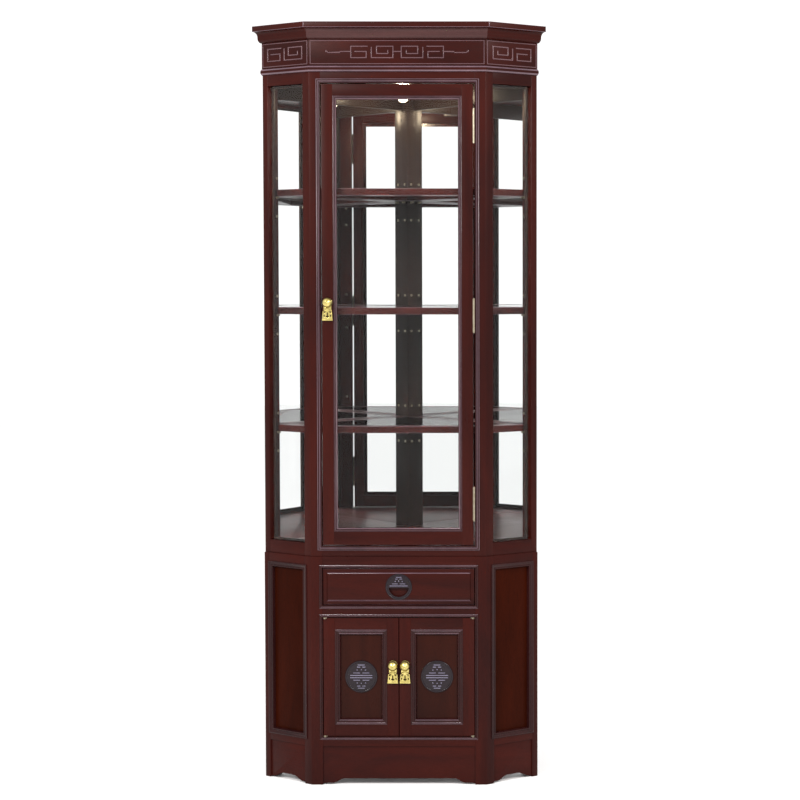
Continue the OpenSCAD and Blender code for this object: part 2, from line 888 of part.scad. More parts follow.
module door_stiles() {
    color(WOOD) {
        box(door_left, door_left + stile_w, front_y, door_y1, door_z, door_top);
        difference() {
            box(door_right - stile_w, door_right, front_y, door_y1, door_z, door_top);
            leaf_mortise(door_right + leaf_proud - leaf_t, door_right + 1);
        }
    }
}

module door_rails() {
    x0 = door_left + stile_w;
    x1 = door_right - stile_w;
    color(WOOD) {
        box(x0, x1, front_y, door_y1, door_z, door_z + door_sill_h);
        box(x0, x1, front_y, door_y1, door_top - door_head_h, door_top);
    }
}

module door_bead() {
    color(DARK_WOOD) ring(door_left + stile_w, door_right - stile_w,
        door_z + door_sill_h, door_top - door_head_h, front_y + 1, glass_y, door_bead_w);
}

module door_glass() {
    color(GLASS) box(door_left + stile_w, door_right - stile_w, glass_y, glass_y + glass_t,
        door_z + door_sill_h, door_top - door_head_h);
}

// ---- pulls ----

// Every pull: a backplate with two cheeks and a pointed knob, and a plate that hangs from a pin
drop_pin_z = -knob_d / 2 - 2.5;
drop_pin_y = -5;
drop_pin_r = 1;

module knob(x, y, z) {
    r = knob_d / 2;
    translate([x, y, z]) {
        rotate([90, 0, 0]) rotate_extrude() polygon(concat(
            [[0, 0], [r * 0.9, 0], [r * 0.9, 1.5], [r * 0.35, 2.5], [r * 0.35, 7], [r, 9]],
            arc(0, 9, r, 0, 60, 6), [[r * 0.2, 9 + r * 0.98], [0, 11 + r]]));
        box(-5, 5, -1.5, 0, drop_pin_z - 4, -r * 0.7);
        for (side = [-1, 1]) translate([side * 4 - 1, 0, drop_pin_z]) {
            box(0, 2, drop_pin_y, -1.5, -2.3, 2.3);
            translate([0, drop_pin_y, 0]) rotate([0, 90, 0]) cylinder(r = 2.3, h = 2);
        }
        translate([0, drop_pin_y, drop_pin_z]) rotate([0, 90, 0])
            cylinder(r = drop_pin_r, h = 8, center = true);
    }
}

module drop(x, y, z) {
    w = drop_w / 2;
    plate_z = drop_pin_z - 1.5;
    translate([x, y + drop_pin_y, z]) difference() {
        union() {
            translate([0, 0, drop_pin_z]) rotate([0, 90, 0])
                cylinder(r = 2.2, h = 5.6, center = true);
            translate([0, 1, 0]) rotate([90, 0, 0]) linear_extrude(2) polygon([
                [-2.8, plate_z + 1.5], [-2.8, plate_z - 1], [-w * 0.8, plate_z - 2],
                [-w, plate_z - drop_h + 5], [-w + 4, plate_z - drop_h + 1], [0, plate_z - drop_h],
                [w - 4, plate_z - drop_h + 1], [w, plate_z - drop_h + 5],
                [w * 0.8, plate_z - 2], [2.8, plate_z - 1], [2.8, plate_z + 1.5]]);
        }
        translate([0, 0, drop_pin_z]) rotate([0, 90, 0])
            cylinder(r = drop_pin_r + pin_clear, h = 20, center = true);
    }
}

door_pull_x = door_left + stile_w / 2;
base_pull_x = gap / 2 + base_stile_w / 2;
base_pull_z = base_door_top - base_pull_drop;

module door_knob() {
    color(BRASS) knob(door_pull_x, front_y, door_pull_z);
}

module door_drop() {
    color(BRASS) drop(door_pull_x, front_y, door_pull_z);
}

module left_door_knob() {
    color(BRASS) knob(-base_pull_x, base_y, base_pull_z);
}

module left_door_drop() {
    color(BRASS) drop(-base_pull_x, base_y, base_pull_z);
}

module right_door_knob() {
    color(BRASS) knob(base_pull_x, base_y, base_pull_z);
}

module right_door_drop() {
    color(BRASS) drop(base_pull_x, base_y, base_pull_z);
}

// ---- base doors, drawn as the right one ----

base_door_x0 = gap / 2;
base_door_x1 = base_door_x0 + base_door_w;

// Stiles and rails with seats for the pivots, and the moulding inside them
module base_door_frame() {
    x0 = base_door_x0;
    x1 = base_door_x1;
    w = base_stile_w;
    y1 = base_y + door_t;
    rail_x0 = x0 + w + glue;
    rail_x1 = x1 - w - glue;
    box(x0, x0 + w, base_y, y1, base_door_z, base_door_top);
    difference() {
        box(x1 - w, x1, base_y, y1, base_door_z, base_door_top);
        pivot_seat(base_door_z);
        pivot_seat(base_door_top - pivot_t);
    }
    box(rail_x0, rail_x1, base_y, y1, base_door_z, base_door_z + w);
    box(rail_x0, rail_x1, base_y, y1, base_door_top - w, base_door_top);
    mitred_ring(rail_x0, rail_x1, base_door_z + w + glue, base_door_top - w - glue,
        base_y - moulding_out, base_y + panel_in, moulding_w);
}

module left_door_frame() {
    color(WOOD) mirror([1, 0, 0]) base_door_frame();
}

module right_door_frame() {
    color(WOOD) base_door_frame();
}

module base_door_panel() {
    w = base_stile_w;
    mid = (base_door_x0 + base_door_x1) / 2;
    y0 = base_y + panel_in;
    box(base_door_x0 + w, base_door_x1 - w, y0, y0 + panel_t,
        base_door_z + w, base_door_top - w);
    translate([mid, y0, base_door_mid]) rotate([90, 0, 0])
        cylinder(r = roundel_d / 2, h = roundel_h);
}

module left_door_panel() {
    color(DARK_WOOD) mirror([1, 0, 0]) base_door_panel();
}

module right_door_panel() {
    color(DARK_WOOD) base_door_panel();
}

// ---- drawer ----

drawer_box_z = runner_top + slide_gap;
drawer_y1 = base_y + door_t + drawer_depth;

// The carved roundel holds a finger recess in its lower half
module drawer_front() {
    z0 = drawer_z + gap;
    z1 = drawer_top - gap;
    mid = (z0 + z1) / 2;
    color(WOOD) difference() {
        union() {
            box(-open_half + gap, open_half - gap, base_y, base_y + door_t, z0, z1);
            translate([0, base_y, mid]) rotate([90, 0, 0])
                cylinder(r = drawer_roundel_d / 2, h = 2);
        }
        translate([0, base_y + 1, mid]) rotate([90, 0, 0]) difference() {
            translate([0, 0, -9]) cylinder(r = drawer_roundel_d / 2 - 8, h = 15);
            translate([-drawer_roundel_d, 0, -10]) cube([2 * drawer_roundel_d, drawer_roundel_d, 17]);
        }
    }
}

module drawer_box() {
    y0 = base_y + door_t;
    x1 = drawer_half;
    x0 = drawer_half - drawer_side_t;
    z1 = drawer_box_z + drawer_side_h;
    color("#8a5a3c") {
        both() box(x0, x1, y0, drawer_y1, drawer_box_z, z1);
        box(-x0 + glue, x0 - glue, drawer_y1 - drawer_side_t, drawer_y1, drawer_box_z, z1);
    }
}

module drawer_bottom() {
    x0 = drawer_half - drawer_side_t;
    color("#8a5a3c") box(-x0, x0, base_y + door_t, drawer_y1 - drawer_side_t - glue,
        drawer_box_z + 6, drawer_box_z + 6 + drawer_bottom_t);
}

base_front_posts();
base_outer_posts();
base_back_post();
base_rails();
base_beads();
front_apron();
side_aprons();
side_panels();
side_panel_beads();
base_back_panels();
base_floor();
base_deck();
drawer_runners();
upper_front_posts();
upper_outer_posts();
upper_back_post();
upper_rails();
mirror_rails();
opening_bead();
side_glass();
glazing_beads();
display_floor();
ceiling_board();
mirrors();
back_boards();
shelf_frames();
shelf_glass();
shelf_pins();
pin_sleeves();
frieze_boards();
astragal();
crown();
top_board();
lamp_housing();
lamp_bulb();
cord_grommet();
door_catches();
hinge_frame_leaves();
hinge_pins();
pivot_plates();
door_stiles();
door_rails();
door_bead();
door_glass();
hinge_door_leaves();
door_knob();
door_drop();
left_door_frame();
left_door_panel();
left_door_pivots();
left_door_knob();
left_door_drop();
right_door_frame();
right_door_panel();
right_door_pivots();
right_door_knob();
right_door_drop();
drawer_front();
drawer_box();
drawer_bottom();
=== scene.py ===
# %% [markdown]
# # A corner china cabinet
# This lesson dresses a cabinet that was drawn in CAD. The CAD nodes give every solid at its
# real size and place. Here the wooden ones get eased edges, the mouldings, carving and
# brass pulls are modelled anew, and every surface gets a procedural finish.

# %% Load the frame
import json
import math

import bmesh
import bpy
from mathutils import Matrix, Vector

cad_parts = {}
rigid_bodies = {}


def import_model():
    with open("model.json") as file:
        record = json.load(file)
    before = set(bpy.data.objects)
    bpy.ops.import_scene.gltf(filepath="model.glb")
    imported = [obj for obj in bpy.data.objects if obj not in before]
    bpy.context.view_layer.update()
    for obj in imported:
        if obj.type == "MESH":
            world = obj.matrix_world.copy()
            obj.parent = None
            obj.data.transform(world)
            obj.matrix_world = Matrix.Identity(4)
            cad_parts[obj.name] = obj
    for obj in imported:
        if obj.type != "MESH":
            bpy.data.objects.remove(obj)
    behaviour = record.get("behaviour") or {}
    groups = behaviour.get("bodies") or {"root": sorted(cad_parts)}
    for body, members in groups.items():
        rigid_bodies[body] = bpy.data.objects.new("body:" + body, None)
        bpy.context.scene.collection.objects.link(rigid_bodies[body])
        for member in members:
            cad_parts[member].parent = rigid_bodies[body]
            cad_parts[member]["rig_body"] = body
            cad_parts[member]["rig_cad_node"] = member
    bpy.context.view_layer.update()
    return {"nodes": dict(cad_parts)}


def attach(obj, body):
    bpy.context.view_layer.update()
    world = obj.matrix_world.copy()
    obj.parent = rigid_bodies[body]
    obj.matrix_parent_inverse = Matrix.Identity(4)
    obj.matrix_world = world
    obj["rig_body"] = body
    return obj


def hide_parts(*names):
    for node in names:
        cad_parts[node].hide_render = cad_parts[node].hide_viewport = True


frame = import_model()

# %% [markdown]
# ## Sizes
# The mouldings have to land on the CAD solids, so the cabinet's driving sizes are repeated
# here in metres. The front faces -Y. Each canted side starts at a front corner and turns
# back by an angle that its run and depth give. The outline of the glass door, and of the
# right cupboard door, is written as left, right, bottom and top.

# %% Sizes
MM = 0.001
FRONT_Y = -208.5 * MM
BASE_Y = -211.5 * MM
OPEN_HALF = 199 * MM
FRONT_HALF = 228 * MM
CANT_RUN, CANT_DEPTH = 132 * MM, 90 * MM
CANT_ANGLE = math.atan2(CANT_DEPTH, CANT_RUN)
CANT_LENGTH = math.hypot(CANT_DEPTH, CANT_RUN)
WALL_ANGLE = math.radians(135) - CANT_ANGLE
OPENING = (628 * MM, 1826 * MM)
DRAWER_OPENING = (472 * MM, 570 * MM)
CUPBOARD_OPENING = (127 * MM, 441 * MM)
DOOR = (-197 * MM, 194.5 * MM, 630 * MM, 1824 * MM)
STILE = 29 * MM
LEAF = (1 * MM, 197 * MM, 129 * MM, 439 * MM)
LEAF_STILE = 30 * MM
LAMP = (0, 7.5 * MM, 1835 * MM)
CAP_LOW = 1965 * MM
print("cant angle:", round(math.degrees(CANT_ANGLE), 2), "degrees")

# %% [markdown]
# ## The camera
# The cabinet was seen from about five metres, with upright lines kept upright. A camera that
# tilts down by a couple of degrees and shifts its lens for the rest comes close to that. A
# longish lens keeps the canted sides narrow. It stands a little to the right, because the
# back post shows right of the middle.

# %% Camera
SENSOR = 36
CAMERA_DISTANCE = 4.9
CAMERA_SIDE = 0.35
CAMERA_HEIGHT = 1.313
CAMERA_TILT = math.radians(2.5)
FIELD_WIDTH = 2.0723
SHIFT_RIGHT, SHIFT_UP = 0.0025, -0.0437

bpy.ops.object.select_all(action="DESELECT")
bpy.ops.object.camera_add(location=(CAMERA_SIDE, FRONT_Y - CAMERA_DISTANCE, CAMERA_HEIGHT),
                          rotation=(math.pi / 2 - CAMERA_TILT, 0, 0))
camera = bpy.context.object
camera.data.sensor_width = SENSOR
camera.data.lens = SENSOR * CAMERA_DISTANCE / FIELD_WIDTH
camera.data.shift_x = SHIFT_RIGHT - CAMERA_SIDE / FIELD_WIDTH
camera.data.shift_y = SHIFT_UP
bpy.context.scene.camera = camera
print("lens:", round(camera.data.lens, 1), "mm")

# %% [markdown]
# ## Helpers for modelling
# An operator acts on everything that is selected, so each step picks its object first.
# Three ways of shaping come back again and again: easing the edges of a CAD solid, insetting
# a face to run a moulding round a frame, and raising one ring after another for turned work.

# %% Selecting
def pick(piece):
    bpy.ops.object.select_all(action="DESELECT")
    piece.select_set(True)
    bpy.context.view_layer.objects.active = piece


def edit(piece, mode="FACE"):
    pick(piece)
    bpy.ops.object.mode_set(mode="EDIT")
    bpy.ops.mesh.select_mode(type=mode)
    bpy.ops.mesh.select_all(action="DESELECT")
    return bmesh.from_edit_mesh(piece.data)


def leave(piece, smooth=35):
    bpy.ops.object.mode_set(mode="OBJECT")
    pick(piece)
    bpy.ops.object.shade_smooth_by_angle(angle=math.radians(smooth))
    return piece


def settle(piece):
    pick(piece)
    bpy.ops.object.transform_apply(location=True, rotation=True, scale=True)
    return piece


def close_up(piece, smooth=35):
    """Merges doubles, turns all faces outwards and shades the result."""
    edit(piece)
    bpy.ops.mesh.select_all(action="SELECT")
    bpy.ops.mesh.remove_doubles(threshold=0.00001)
    bpy.ops.mesh.normals_make_consistent(inside=False)
    return leave(piece, smooth)


def join(pieces, name):
    pick(pieces[0])
    for piece in pieces[1:]:
        piece.select_set(True)
    bpy.ops.object.join()
    whole = bpy.context.object
    whole.name = name
    return whole


def twin(piece, name):
    """A mirror image across the cabinet's middle, with its own mesh."""
    pick(piece)
    bpy.ops.object.duplicate()
    other = bpy.context.object
    other.name = name
    other.scale.x = -1
    settle(other)
    return close_up(other)

# %% Placing a piece in the cabinet
def coat(piece, *materials):
    piece.data.materials.clear()
    for material in materials:
        piece.data.materials.append(material)


def place(piece, body, material=None, stands_for=()):
    """Names the body it moves with, gives it its finish when one is given, and hides the CAD
    nodes it stands for.
    """
    if material is not None:
        coat(piece, material)
    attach(piece, body)
    if stands_for:
        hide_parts(*stands_for)
    return piece

# %% [markdown]
# ## Lacquered rosewood
# The real cabinet is stained and lacquered to a deep red-brown. The grain hardly shows, but
# without it large faces look like plastic. A node group makes the figure once: broad soft
# bands, fine dark pores drawn out along the grain, and a little height for the lacquer. The
# vector it gets is already turned and stretched, so one group serves boards of any
# direction.

# %% Node helpers
def wire(tree, source, target):
    tree.links.new(source, target)


def add(tree, kind, x=0, y=0, **values):
    node = tree.nodes.new(kind)
    node.location = (x, y)
    for key, value in values.items():
        if hasattr(node, key):
            setattr(node, key, value)
        else:
            node.inputs[key.replace("_", " ")].default_value = value
    return node


def ramp(tree, low, high, dark=(0, 0, 0, 1), light=(1, 1, 1, 1), x=0, y=0):
    node = add(tree, "ShaderNodeValToRGB", x, y)
    node.color_ramp.elements[0].position = low
    node.color_ramp.elements[0].color = dark
    node.color_ramp.elements[1].position = high
    node.color_ramp.elements[1].color = light
    return node


def new_group(name, inputs, outputs):
    group = bpy.data.node_groups.new(name, "ShaderNodeTree")
    for title, kind in inputs:
        group.interface.new_socket(title, in_out="INPUT", socket_type="NodeSocket" + kind)
    for title, kind in outputs:
        group.interface.new_socket(title, in_out="OUTPUT", socket_type="NodeSocket" + kind)
    return group, add(group, "NodeGroupInput", -900), add(group, "NodeGroupOutput", 900)


def mix_colour(tree, factor, first, second, blend="MIX", x=0, y=0):
    node = add(tree, "ShaderNodeMix", x, y, data_type="RGBA", blend_type=blend)
    for socket, value in ((0, factor), (6, first), (7, second)):
        if isinstance(value, bpy.types.NodeSocket):
            wire(tree, value, node.inputs[socket])
        else:
            node.inputs[socket].default_value = value
    return node.outputs[2]


def scaled(tree, source, low, high, x=0, y=0):
    node = add(tree, "ShaderNodeMapRange", x, y)
    node.inputs["To Min"].default_value = low
    node.inputs["To Max"].default_value = high
    wire(tree, source, node.inputs["Value"])
    return node.outputs["Result"]


def new_material(name):
    material = bpy.data.materials.new(name)
    material.use_nodes = True
    tree = material.node_tree
    return material, tree, tree.nodes["Principled BSDF"]


def set_shader(shader, **values):
    for key, value in values.items():
        shader.inputs[key.replace("_", " ")].default_value = value

# %% The figure of the wood, as a node group
figure, figure_in, figure_out = new_group(
    "Timber figure",
    [("Vector", "Vector"), ("Light", "Color"), ("Dark", "Color")],
    [("Color", "Color"), ("Roughness", "Float"), ("Height", "Float")])
bands = add(figure, "ShaderNodeTexNoise", -650, 200, Scale=1.1, Detail=5.0, Roughness=0.55,
            Distortion=0.7)
pores = add(figure, "ShaderNodeTexNoise", -650, -100, Scale=36.0, Detail=6.0, Roughness=0.7)
for noise in (bands, pores):
    wire(figure, figure_in.outputs["Vector"], noise.inputs["Vector"])
band_mask = ramp(figure, 0.34, 0.66, x=-420, y=200)
pore_mask = ramp(figure, 0.30, 0.52, x=-420, y=-100)
wire(figure, bands.outputs["Fac"], band_mask.inputs["Fac"])
wire(figure, pores.outputs["Fac"], pore_mask.inputs["Fac"])
toned = mix_colour(figure, band_mask.outputs["Color"], figure_in.outputs["Dark"],
                   figure_in.outputs["Light"], x=-100, y=150)
porous = mix_colour(figure, pore_mask.outputs["Color"], (0.74, 0.70, 0.68, 1), (1, 1, 1, 1),
                    x=-100, y=-100)
wire(figure, mix_colour(figure, 1.0, toned, porous, "MULTIPLY", x=200, y=100),
     figure_out.inputs["Color"])
wire(figure, scaled(figure, pore_mask.outputs["Color"], 0.42, 0.27, x=200, y=-100),
     figure_out.inputs["Roughness"])
wire(figure, pore_mask.outputs["Color"], figure_out.inputs["Height"])
print("group:", figure.name)

# %% [markdown]
# Hands and cloths leave soft patches in any lacquer. A second group makes them as a mask
# that wanders slowly over the whole piece. Wood, brass and glass all use it to vary how
# glossy they are.

# %% Soft patches, as a node group
patches, patches_in, patches_out = new_group(
    "Soft patches", [("Vector", "Vector"), ("Scale", "Float")], [("Mask", "Float")])
cloud = add(patches, "ShaderNodeTexNoise", -500, 0, Detail=3.0, Roughness=0.6)
wire(patches, patches_in.outputs["Vector"], cloud.inputs["Vector"])
wire(patches, patches_in.outputs["Scale"], cloud.inputs["Scale"])
cloud_mask = ramp(patches, 0.35, 0.7, x=-200)
wire(patches, cloud.outputs["Fac"], cloud_mask.inputs["Fac"])
wire(patches, cloud_mask.outputs["Color"], patches_out.inputs["Mask"])


def patch_mask(tree, scale, x=-700, y=-400):
    coords = add(tree, "ShaderNodeTexCoord", x - 200, y)
    node = add(tree, "ShaderNodeGroup", x, y, node_tree=patches)
    node.inputs["Scale"].default_value = scale
    wire(tree, coords.outputs["Object"], node.inputs["Vector"])
    return node.outputs["Mask"]

# %% [markdown]
# Each board's grain runs along its length. A material first turns the object's own
# coordinates until the grain lies along X, then squeezes them: slowly along the grain and
# quickly across it. Upright posts, front rails and the two canted sides so share one recipe.

# %% Lacquer for a grain direction
UPRIGHT, LENGTHWISE = "upright", "lengthwise"
GRAIN_STRETCH = (1.5, 10, 10)


def lacquered(name, light, dark, run, turn=0.0, gloss=0.0, specular=0.08):
    material, tree, shader = new_material(name)
    coords = add(tree, "ShaderNodeTexCoord", -1300)
    turned = add(tree, "ShaderNodeMapping", -1100)
    turned.inputs["Rotation"].default_value = (0, 0, -turn)
    if run == UPRIGHT:
        turned.inputs["Rotation"].default_value = (0, math.pi / 2, 0)
    stretched = add(tree, "ShaderNodeMapping", -900)
    stretched.inputs["Scale"].default_value = GRAIN_STRETCH
    wire(tree, coords.outputs["Object"], turned.inputs["Vector"])
    wire(tree, turned.outputs["Vector"], stretched.inputs["Vector"])
    node = add(tree, "ShaderNodeGroup", -650, 0, node_tree=figure)
    wire(tree, stretched.outputs["Vector"], node.inputs["Vector"])
    node.inputs["Light"].default_value = (*light, 1)
    node.inputs["Dark"].default_value = (*dark, 1)
    wire(tree, node.outputs["Color"], shader.inputs["Base Color"])
    patch = patch_mask(tree, 5.0)
    rough = add(tree, "ShaderNodeMath", -200, -200, operation="MULTIPLY_ADD")
    wire(tree, patch, rough.inputs[0])
    rough.inputs[1].default_value = 0.08
    wire(tree, node.outputs["Roughness"], rough.inputs[2])
    less = add(tree, "ShaderNodeMath", -50, -200, operation="SUBTRACT")
    wire(tree, rough.outputs[0], less.inputs[0])
    less.inputs[1].default_value = gloss
    wire(tree, less.outputs[0], shader.inputs["Roughness"])
    bump = add(tree, "ShaderNodeBump", -200, -450, Strength=0.10, Distance=0.0004)
    wire(tree, node.outputs["Height"], bump.inputs["Height"])
    wire(tree, bump.outputs["Normal"], shader.inputs["Normal"])
    set_shader(shader, Specular_IOR_Level=specular)
    return material


LIGHT_ROSE, DARK_ROSE = (0.033, 0.0042, 0.0024), (0.0165, 0.0027, 0.0021)
rosewood_up = lacquered("Rosewood upright", LIGHT_ROSE, DARK_ROSE, UPRIGHT)
rosewood_front = lacquered("Rosewood along the front", LIGHT_ROSE, DARK_ROSE, LENGTHWISE)
rosewood_right = lacquered("Rosewood along the right side", LIGHT_ROSE, DARK_ROSE,
                           LENGTHWISE, CANT_ANGLE)
rosewood_left = lacquered("Rosewood along the left side", LIGHT_ROSE, DARK_ROSE,
                          LENGTHWISE, -CANT_ANGLE)
panel_wood = lacquered("Panel rosewood", (0.023, 0.0042, 0.0020), (0.013, 0.0026, 0.0014),
                       UPRIGHT)
side_wood = lacquered("Side panel rosewood", (0.030, 0.0044, 0.0014), (0.017, 0.0028, 0.0011),
                      UPRIGHT, specular=0.02)
# A paler, glossier copy of the wood for the crown's front cove: painted light.
lit_cove_wood = lacquered("Cove rosewood with painted light", (0.052, 0.021, 0.020), (0.032, 0.013, 0.013),
                      LENGTHWISE, gloss=0.06, specular=0.16)
inside_wood = lacquered("Rosewood inside", (0.016, 0.0085, 0.0062), (0.010, 0.0055, 0.0044),
                        UPRIGHT)
bead_wood = lacquered("Moulded rosewood", (0.024, 0.0055, 0.0052), (0.014, 0.0034, 0.0036),
                      UPRIGHT, gloss=0.10, specular=0.16)
# Paler, glossier wood for eased edges and moulding crests: a painted highlight.
edge_highlight_wood = lacquered("Painted edge highlight", (0.120, 0.070, 0.088), (0.075, 0.043, 0.056),
                        UPRIGHT, gloss=0.12, specular=0.5)
# Paler wood for the fret lines and frieze borders: a painted highlight.
fret_highlight_wood = lacquered("Fret painted highlight", (0.105, 0.052, 0.058), (0.070, 0.034, 0.040),
                        LENGTHWISE, gloss=0.12, specular=0.4)
carved_wood = lacquered("Carved rosewood", (0.010, 0.0045, 0.0075), (0.006, 0.003, 0.005),
                        LENGTHWISE, gloss=0.14, specular=0.25)
# Pale blue-grey wood for the roundels' bars and studs: a painted highlight.
carving_highlight_wood = lacquered("Carving painted highlight", (0.150, 0.135, 0.200), (0.080, 0.070, 0.110),
                       LENGTHWISE, gloss=0.16, specular=0.7)
inner_wood = lacquered("Plain drawer wood", (0.42, 0.24, 0.13), (0.30, 0.16, 0.085),
                       LENGTHWISE, gloss=-0.15, specular=0.3)
print("wood finishes:", sum("osewood" in m.name for m in bpy.data.materials))

# %% [markdown]
# ## Glass, mirror, brass and the rest
# Real glass in a path tracer lets no lamp light through, because light that bends finds no
# lamp. So for shadow rays only, the glass is swapped for a transparent shader. A mirror is a
# metal with hardly any roughness. Brass is a yellow metal whose gloss varies where hands
# have been. The shelf panes are seen edge on, where real glass mirrors nearly everything, so
# their index is set low to keep them dark.

# %% Glass and mirror
def pane(name, tint, shadow_tint, index):
    material, tree, shader = new_material(name)
    set_shader(shader, Base_Color=(*tint, 1), Transmission_Weight=1.0, IOR=index)
    smear = scaled(tree, patch_mask(tree, 9.0), 0.0, 0.006, x=-350, y=-350)
    wire(tree, smear, shader.inputs["Roughness"])
    through = add(tree, "ShaderNodeBsdfTransparent", 0, -300, Color=(*shadow_tint, 1))
    rays = add(tree, "ShaderNodeLightPath", 0, 400)
    swap = add(tree, "ShaderNodeMixShader", 300)
    wire(tree, rays.outputs["Is Shadow Ray"], swap.inputs[0])
    wire(tree, shader.outputs[0], swap.inputs[1])
    wire(tree, through.outputs[0], swap.inputs[2])
    wire(tree, swap.outputs[0], tree.nodes["Material Output"].inputs["Surface"])
    return material


pane_glass = pane("Clear pane", (0.995, 1.0, 0.998), (0.98, 0.98, 0.98), 1.22)
shelf_pane = pane("Smoked shelf pane", (0.10, 0.10, 0.095), (0.45, 0.44, 0.42), 1.03)

silvered, tree, shader = new_material("Silvered glass")
set_shader(shader, Base_Color=(0.965, 0.97, 0.968, 1), Metallic=1.0)
wire(tree, scaled(tree, patch_mask(tree, 6.0), 0.0, 0.01, x=-350, y=-350),
     shader.inputs["Roughness"])

# %% Brass, and the small parts' finishes
def brass_finish(name, bright, worn, low, high):
    material, tree, shader = new_material(name)
    mask = patch_mask(tree, 90.0)
    wire(tree, mix_colour(tree, mask, (*bright, 1), (*worn, 1), x=-300, y=150),
         shader.inputs["Base Color"])
    wire(tree, scaled(tree, mask, low, high, x=-300, y=-200), shader.inputs["Roughness"])
    grain = add(tree, "ShaderNodeTexNoise", -600, -600, Scale=900.0, Detail=2.0)
    bump = add(tree, "ShaderNodeBump", -300, -500, Strength=0.12, Distance=0.0002)
    wire(tree, grain.outputs["Fac"], bump.inputs["Height"])
    wire(tree, bump.outputs["Normal"], shader.inputs["Normal"])
    set_shader(shader, Metallic=1.0)
    return material


def plain_finish(name, first, second, rough, scale, **values):
    material, tree, shader = new_material(name)
    mask = patch_mask(tree, scale)
    wire(tree, mix_colour(tree, mask, (*first, 1), (*second, 1), x=-300, y=150),
         shader.inputs["Base Color"])
    wire(tree, scaled(tree, mask, rough, rough + 0.12, x=-300, y=-200),
         shader.inputs["Roughness"])
    set_shader(shader, **values)
    return material


brass = brass_finish("Polished brass", (0.66, 0.55, 0.20), (0.42, 0.34, 0.10), 0.2, 0.38)
hinge_brass = brass_finish("Hinge brass", (0.45, 0.40, 0.30), (0.26, 0.22, 0.15), 0.28, 0.48)
enamel = plain_finish("Lamp enamel", (0.62, 0.60, 0.55), (0.55, 0.52, 0.47), 0.3, 40.0)
rubber = plain_finish("Black rubber", (0.022, 0.022, 0.022), (0.03, 0.03, 0.03), 0.6, 60.0)
catch_finish = plain_finish("Brown catch", (0.03, 0.018, 0.014), (0.04, 0.026, 0.02), 0.45, 50.0)
glow = plain_finish("Lit bulb", (1, 0.93, 0.8), (1, 0.9, 0.75), 0.2, 60.0,
                    Emission_Color=(1, 0.80, 0.52, 1), Emission_Strength=1.7)
print("materials:", len(bpy.data.materials))

# %% [markdown]
# ## Easing the CAD solids
# No sawn edge on furniture is left sharp: lacquer would wear through, and light would find
# nothing to catch. A CAD node's mesh is loose triangles, so its copy is merged, its flat
# triangles are dissolved into whole faces, and only then are its long sharp edges bevelled.
# Edges round the small pin holes are short, and stay as they are. The bevelled faces get their
# own material, paler and glossier: a painted highlight for the lines of light along the edges.

# %% Ease one node
HIGHLIGHT_SLOT, RIGHT_GRAIN, LEFT_GRAIN = 1, 2, 3
CORNER_ZONE = 8 * MM


def eased_copy(node, width, material, shortest=12 * MM, highlight_finish=None):
    pick(frame["nodes"][node])
    bpy.ops.object.duplicate()
    piece = bpy.context.object
    piece.parent = None
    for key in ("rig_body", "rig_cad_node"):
        del piece[key]
    piece.name = node + "_finished"
    coat(piece, material, highlight_finish or material)
    bpy.ops.mesh.customdata_custom_splitnormals_clear()
    edit(piece, "EDGE")
    bpy.ops.mesh.select_all(action="SELECT")
    bpy.ops.mesh.remove_doubles(threshold=0.00001)
    bpy.ops.mesh.dissolve_limited(angle_limit=math.radians(0.4))
    bpy.ops.mesh.select_all(action="DESELECT")
    mesh = bmesh.from_edit_mesh(piece.data)
    for edge in mesh.edges:
        edge.select_set(len(edge.link_faces) == 2 and edge.calc_length() > shortest
                        and edge.calc_face_angle(0) > math.radians(28))
    bmesh.update_edit_mesh(piece.data)
    bpy.ops.mesh.bevel(offset=width, segments=3, affect="EDGES", clamp_overlap=True,
                       material=HIGHLIGHT_SLOT)
    return leave(piece, 38)


def sort_grain(piece, right, left):
    """Gives the canted stretches of a piece their own grain direction."""
    piece.data.materials.append(right)
    piece.data.materials.append(left)
    for face in piece.data.polygons:
        if face.material_index != HIGHLIGHT_SLOT and abs(face.center.x) > FRONT_HALF - CORNER_ZONE:
            face.material_index = RIGHT_GRAIN if face.center.x > 0 else LEFT_GRAIN

# %% [markdown]
# Posts and panels have upright grain. Rails, aprons, the frieze, the half-round and the crown run
# round three sides, so their faces are sorted by place among three materials. The half-round's
# upper and lower flanks get the painted edge highlight, and the front cove gets a paler copy of
# the wood, painted light.

# %% Upright wood
UPRIGHT_NODES = {"base_front_posts": 0.9, "base_outer_posts": 0.9, "base_back_post": 0.9,
                 "upper_front_posts": 0.9, "upper_outer_posts": 0.9, "upper_back_post": 0.9,
                 "door_stiles": 0.4}
for node, width in UPRIGHT_NODES.items():
    body = "glass_door" if node.startswith("door") else "cabinet"
    wood = inside_wood if node == "upper_back_post" else rosewood_up
    place(eased_copy(node, width * MM, wood), body, None, (node,))

place(eased_copy("side_panels", 0.6 * MM, side_wood), "cabinet", None,
      ("side_panels",))
place(eased_copy("glazing_beads", 0.6 * MM, inside_wood), "cabinet", None,
      ("glazing_beads",))
print("upright pieces:", len(UPRIGHT_NODES) + 2)

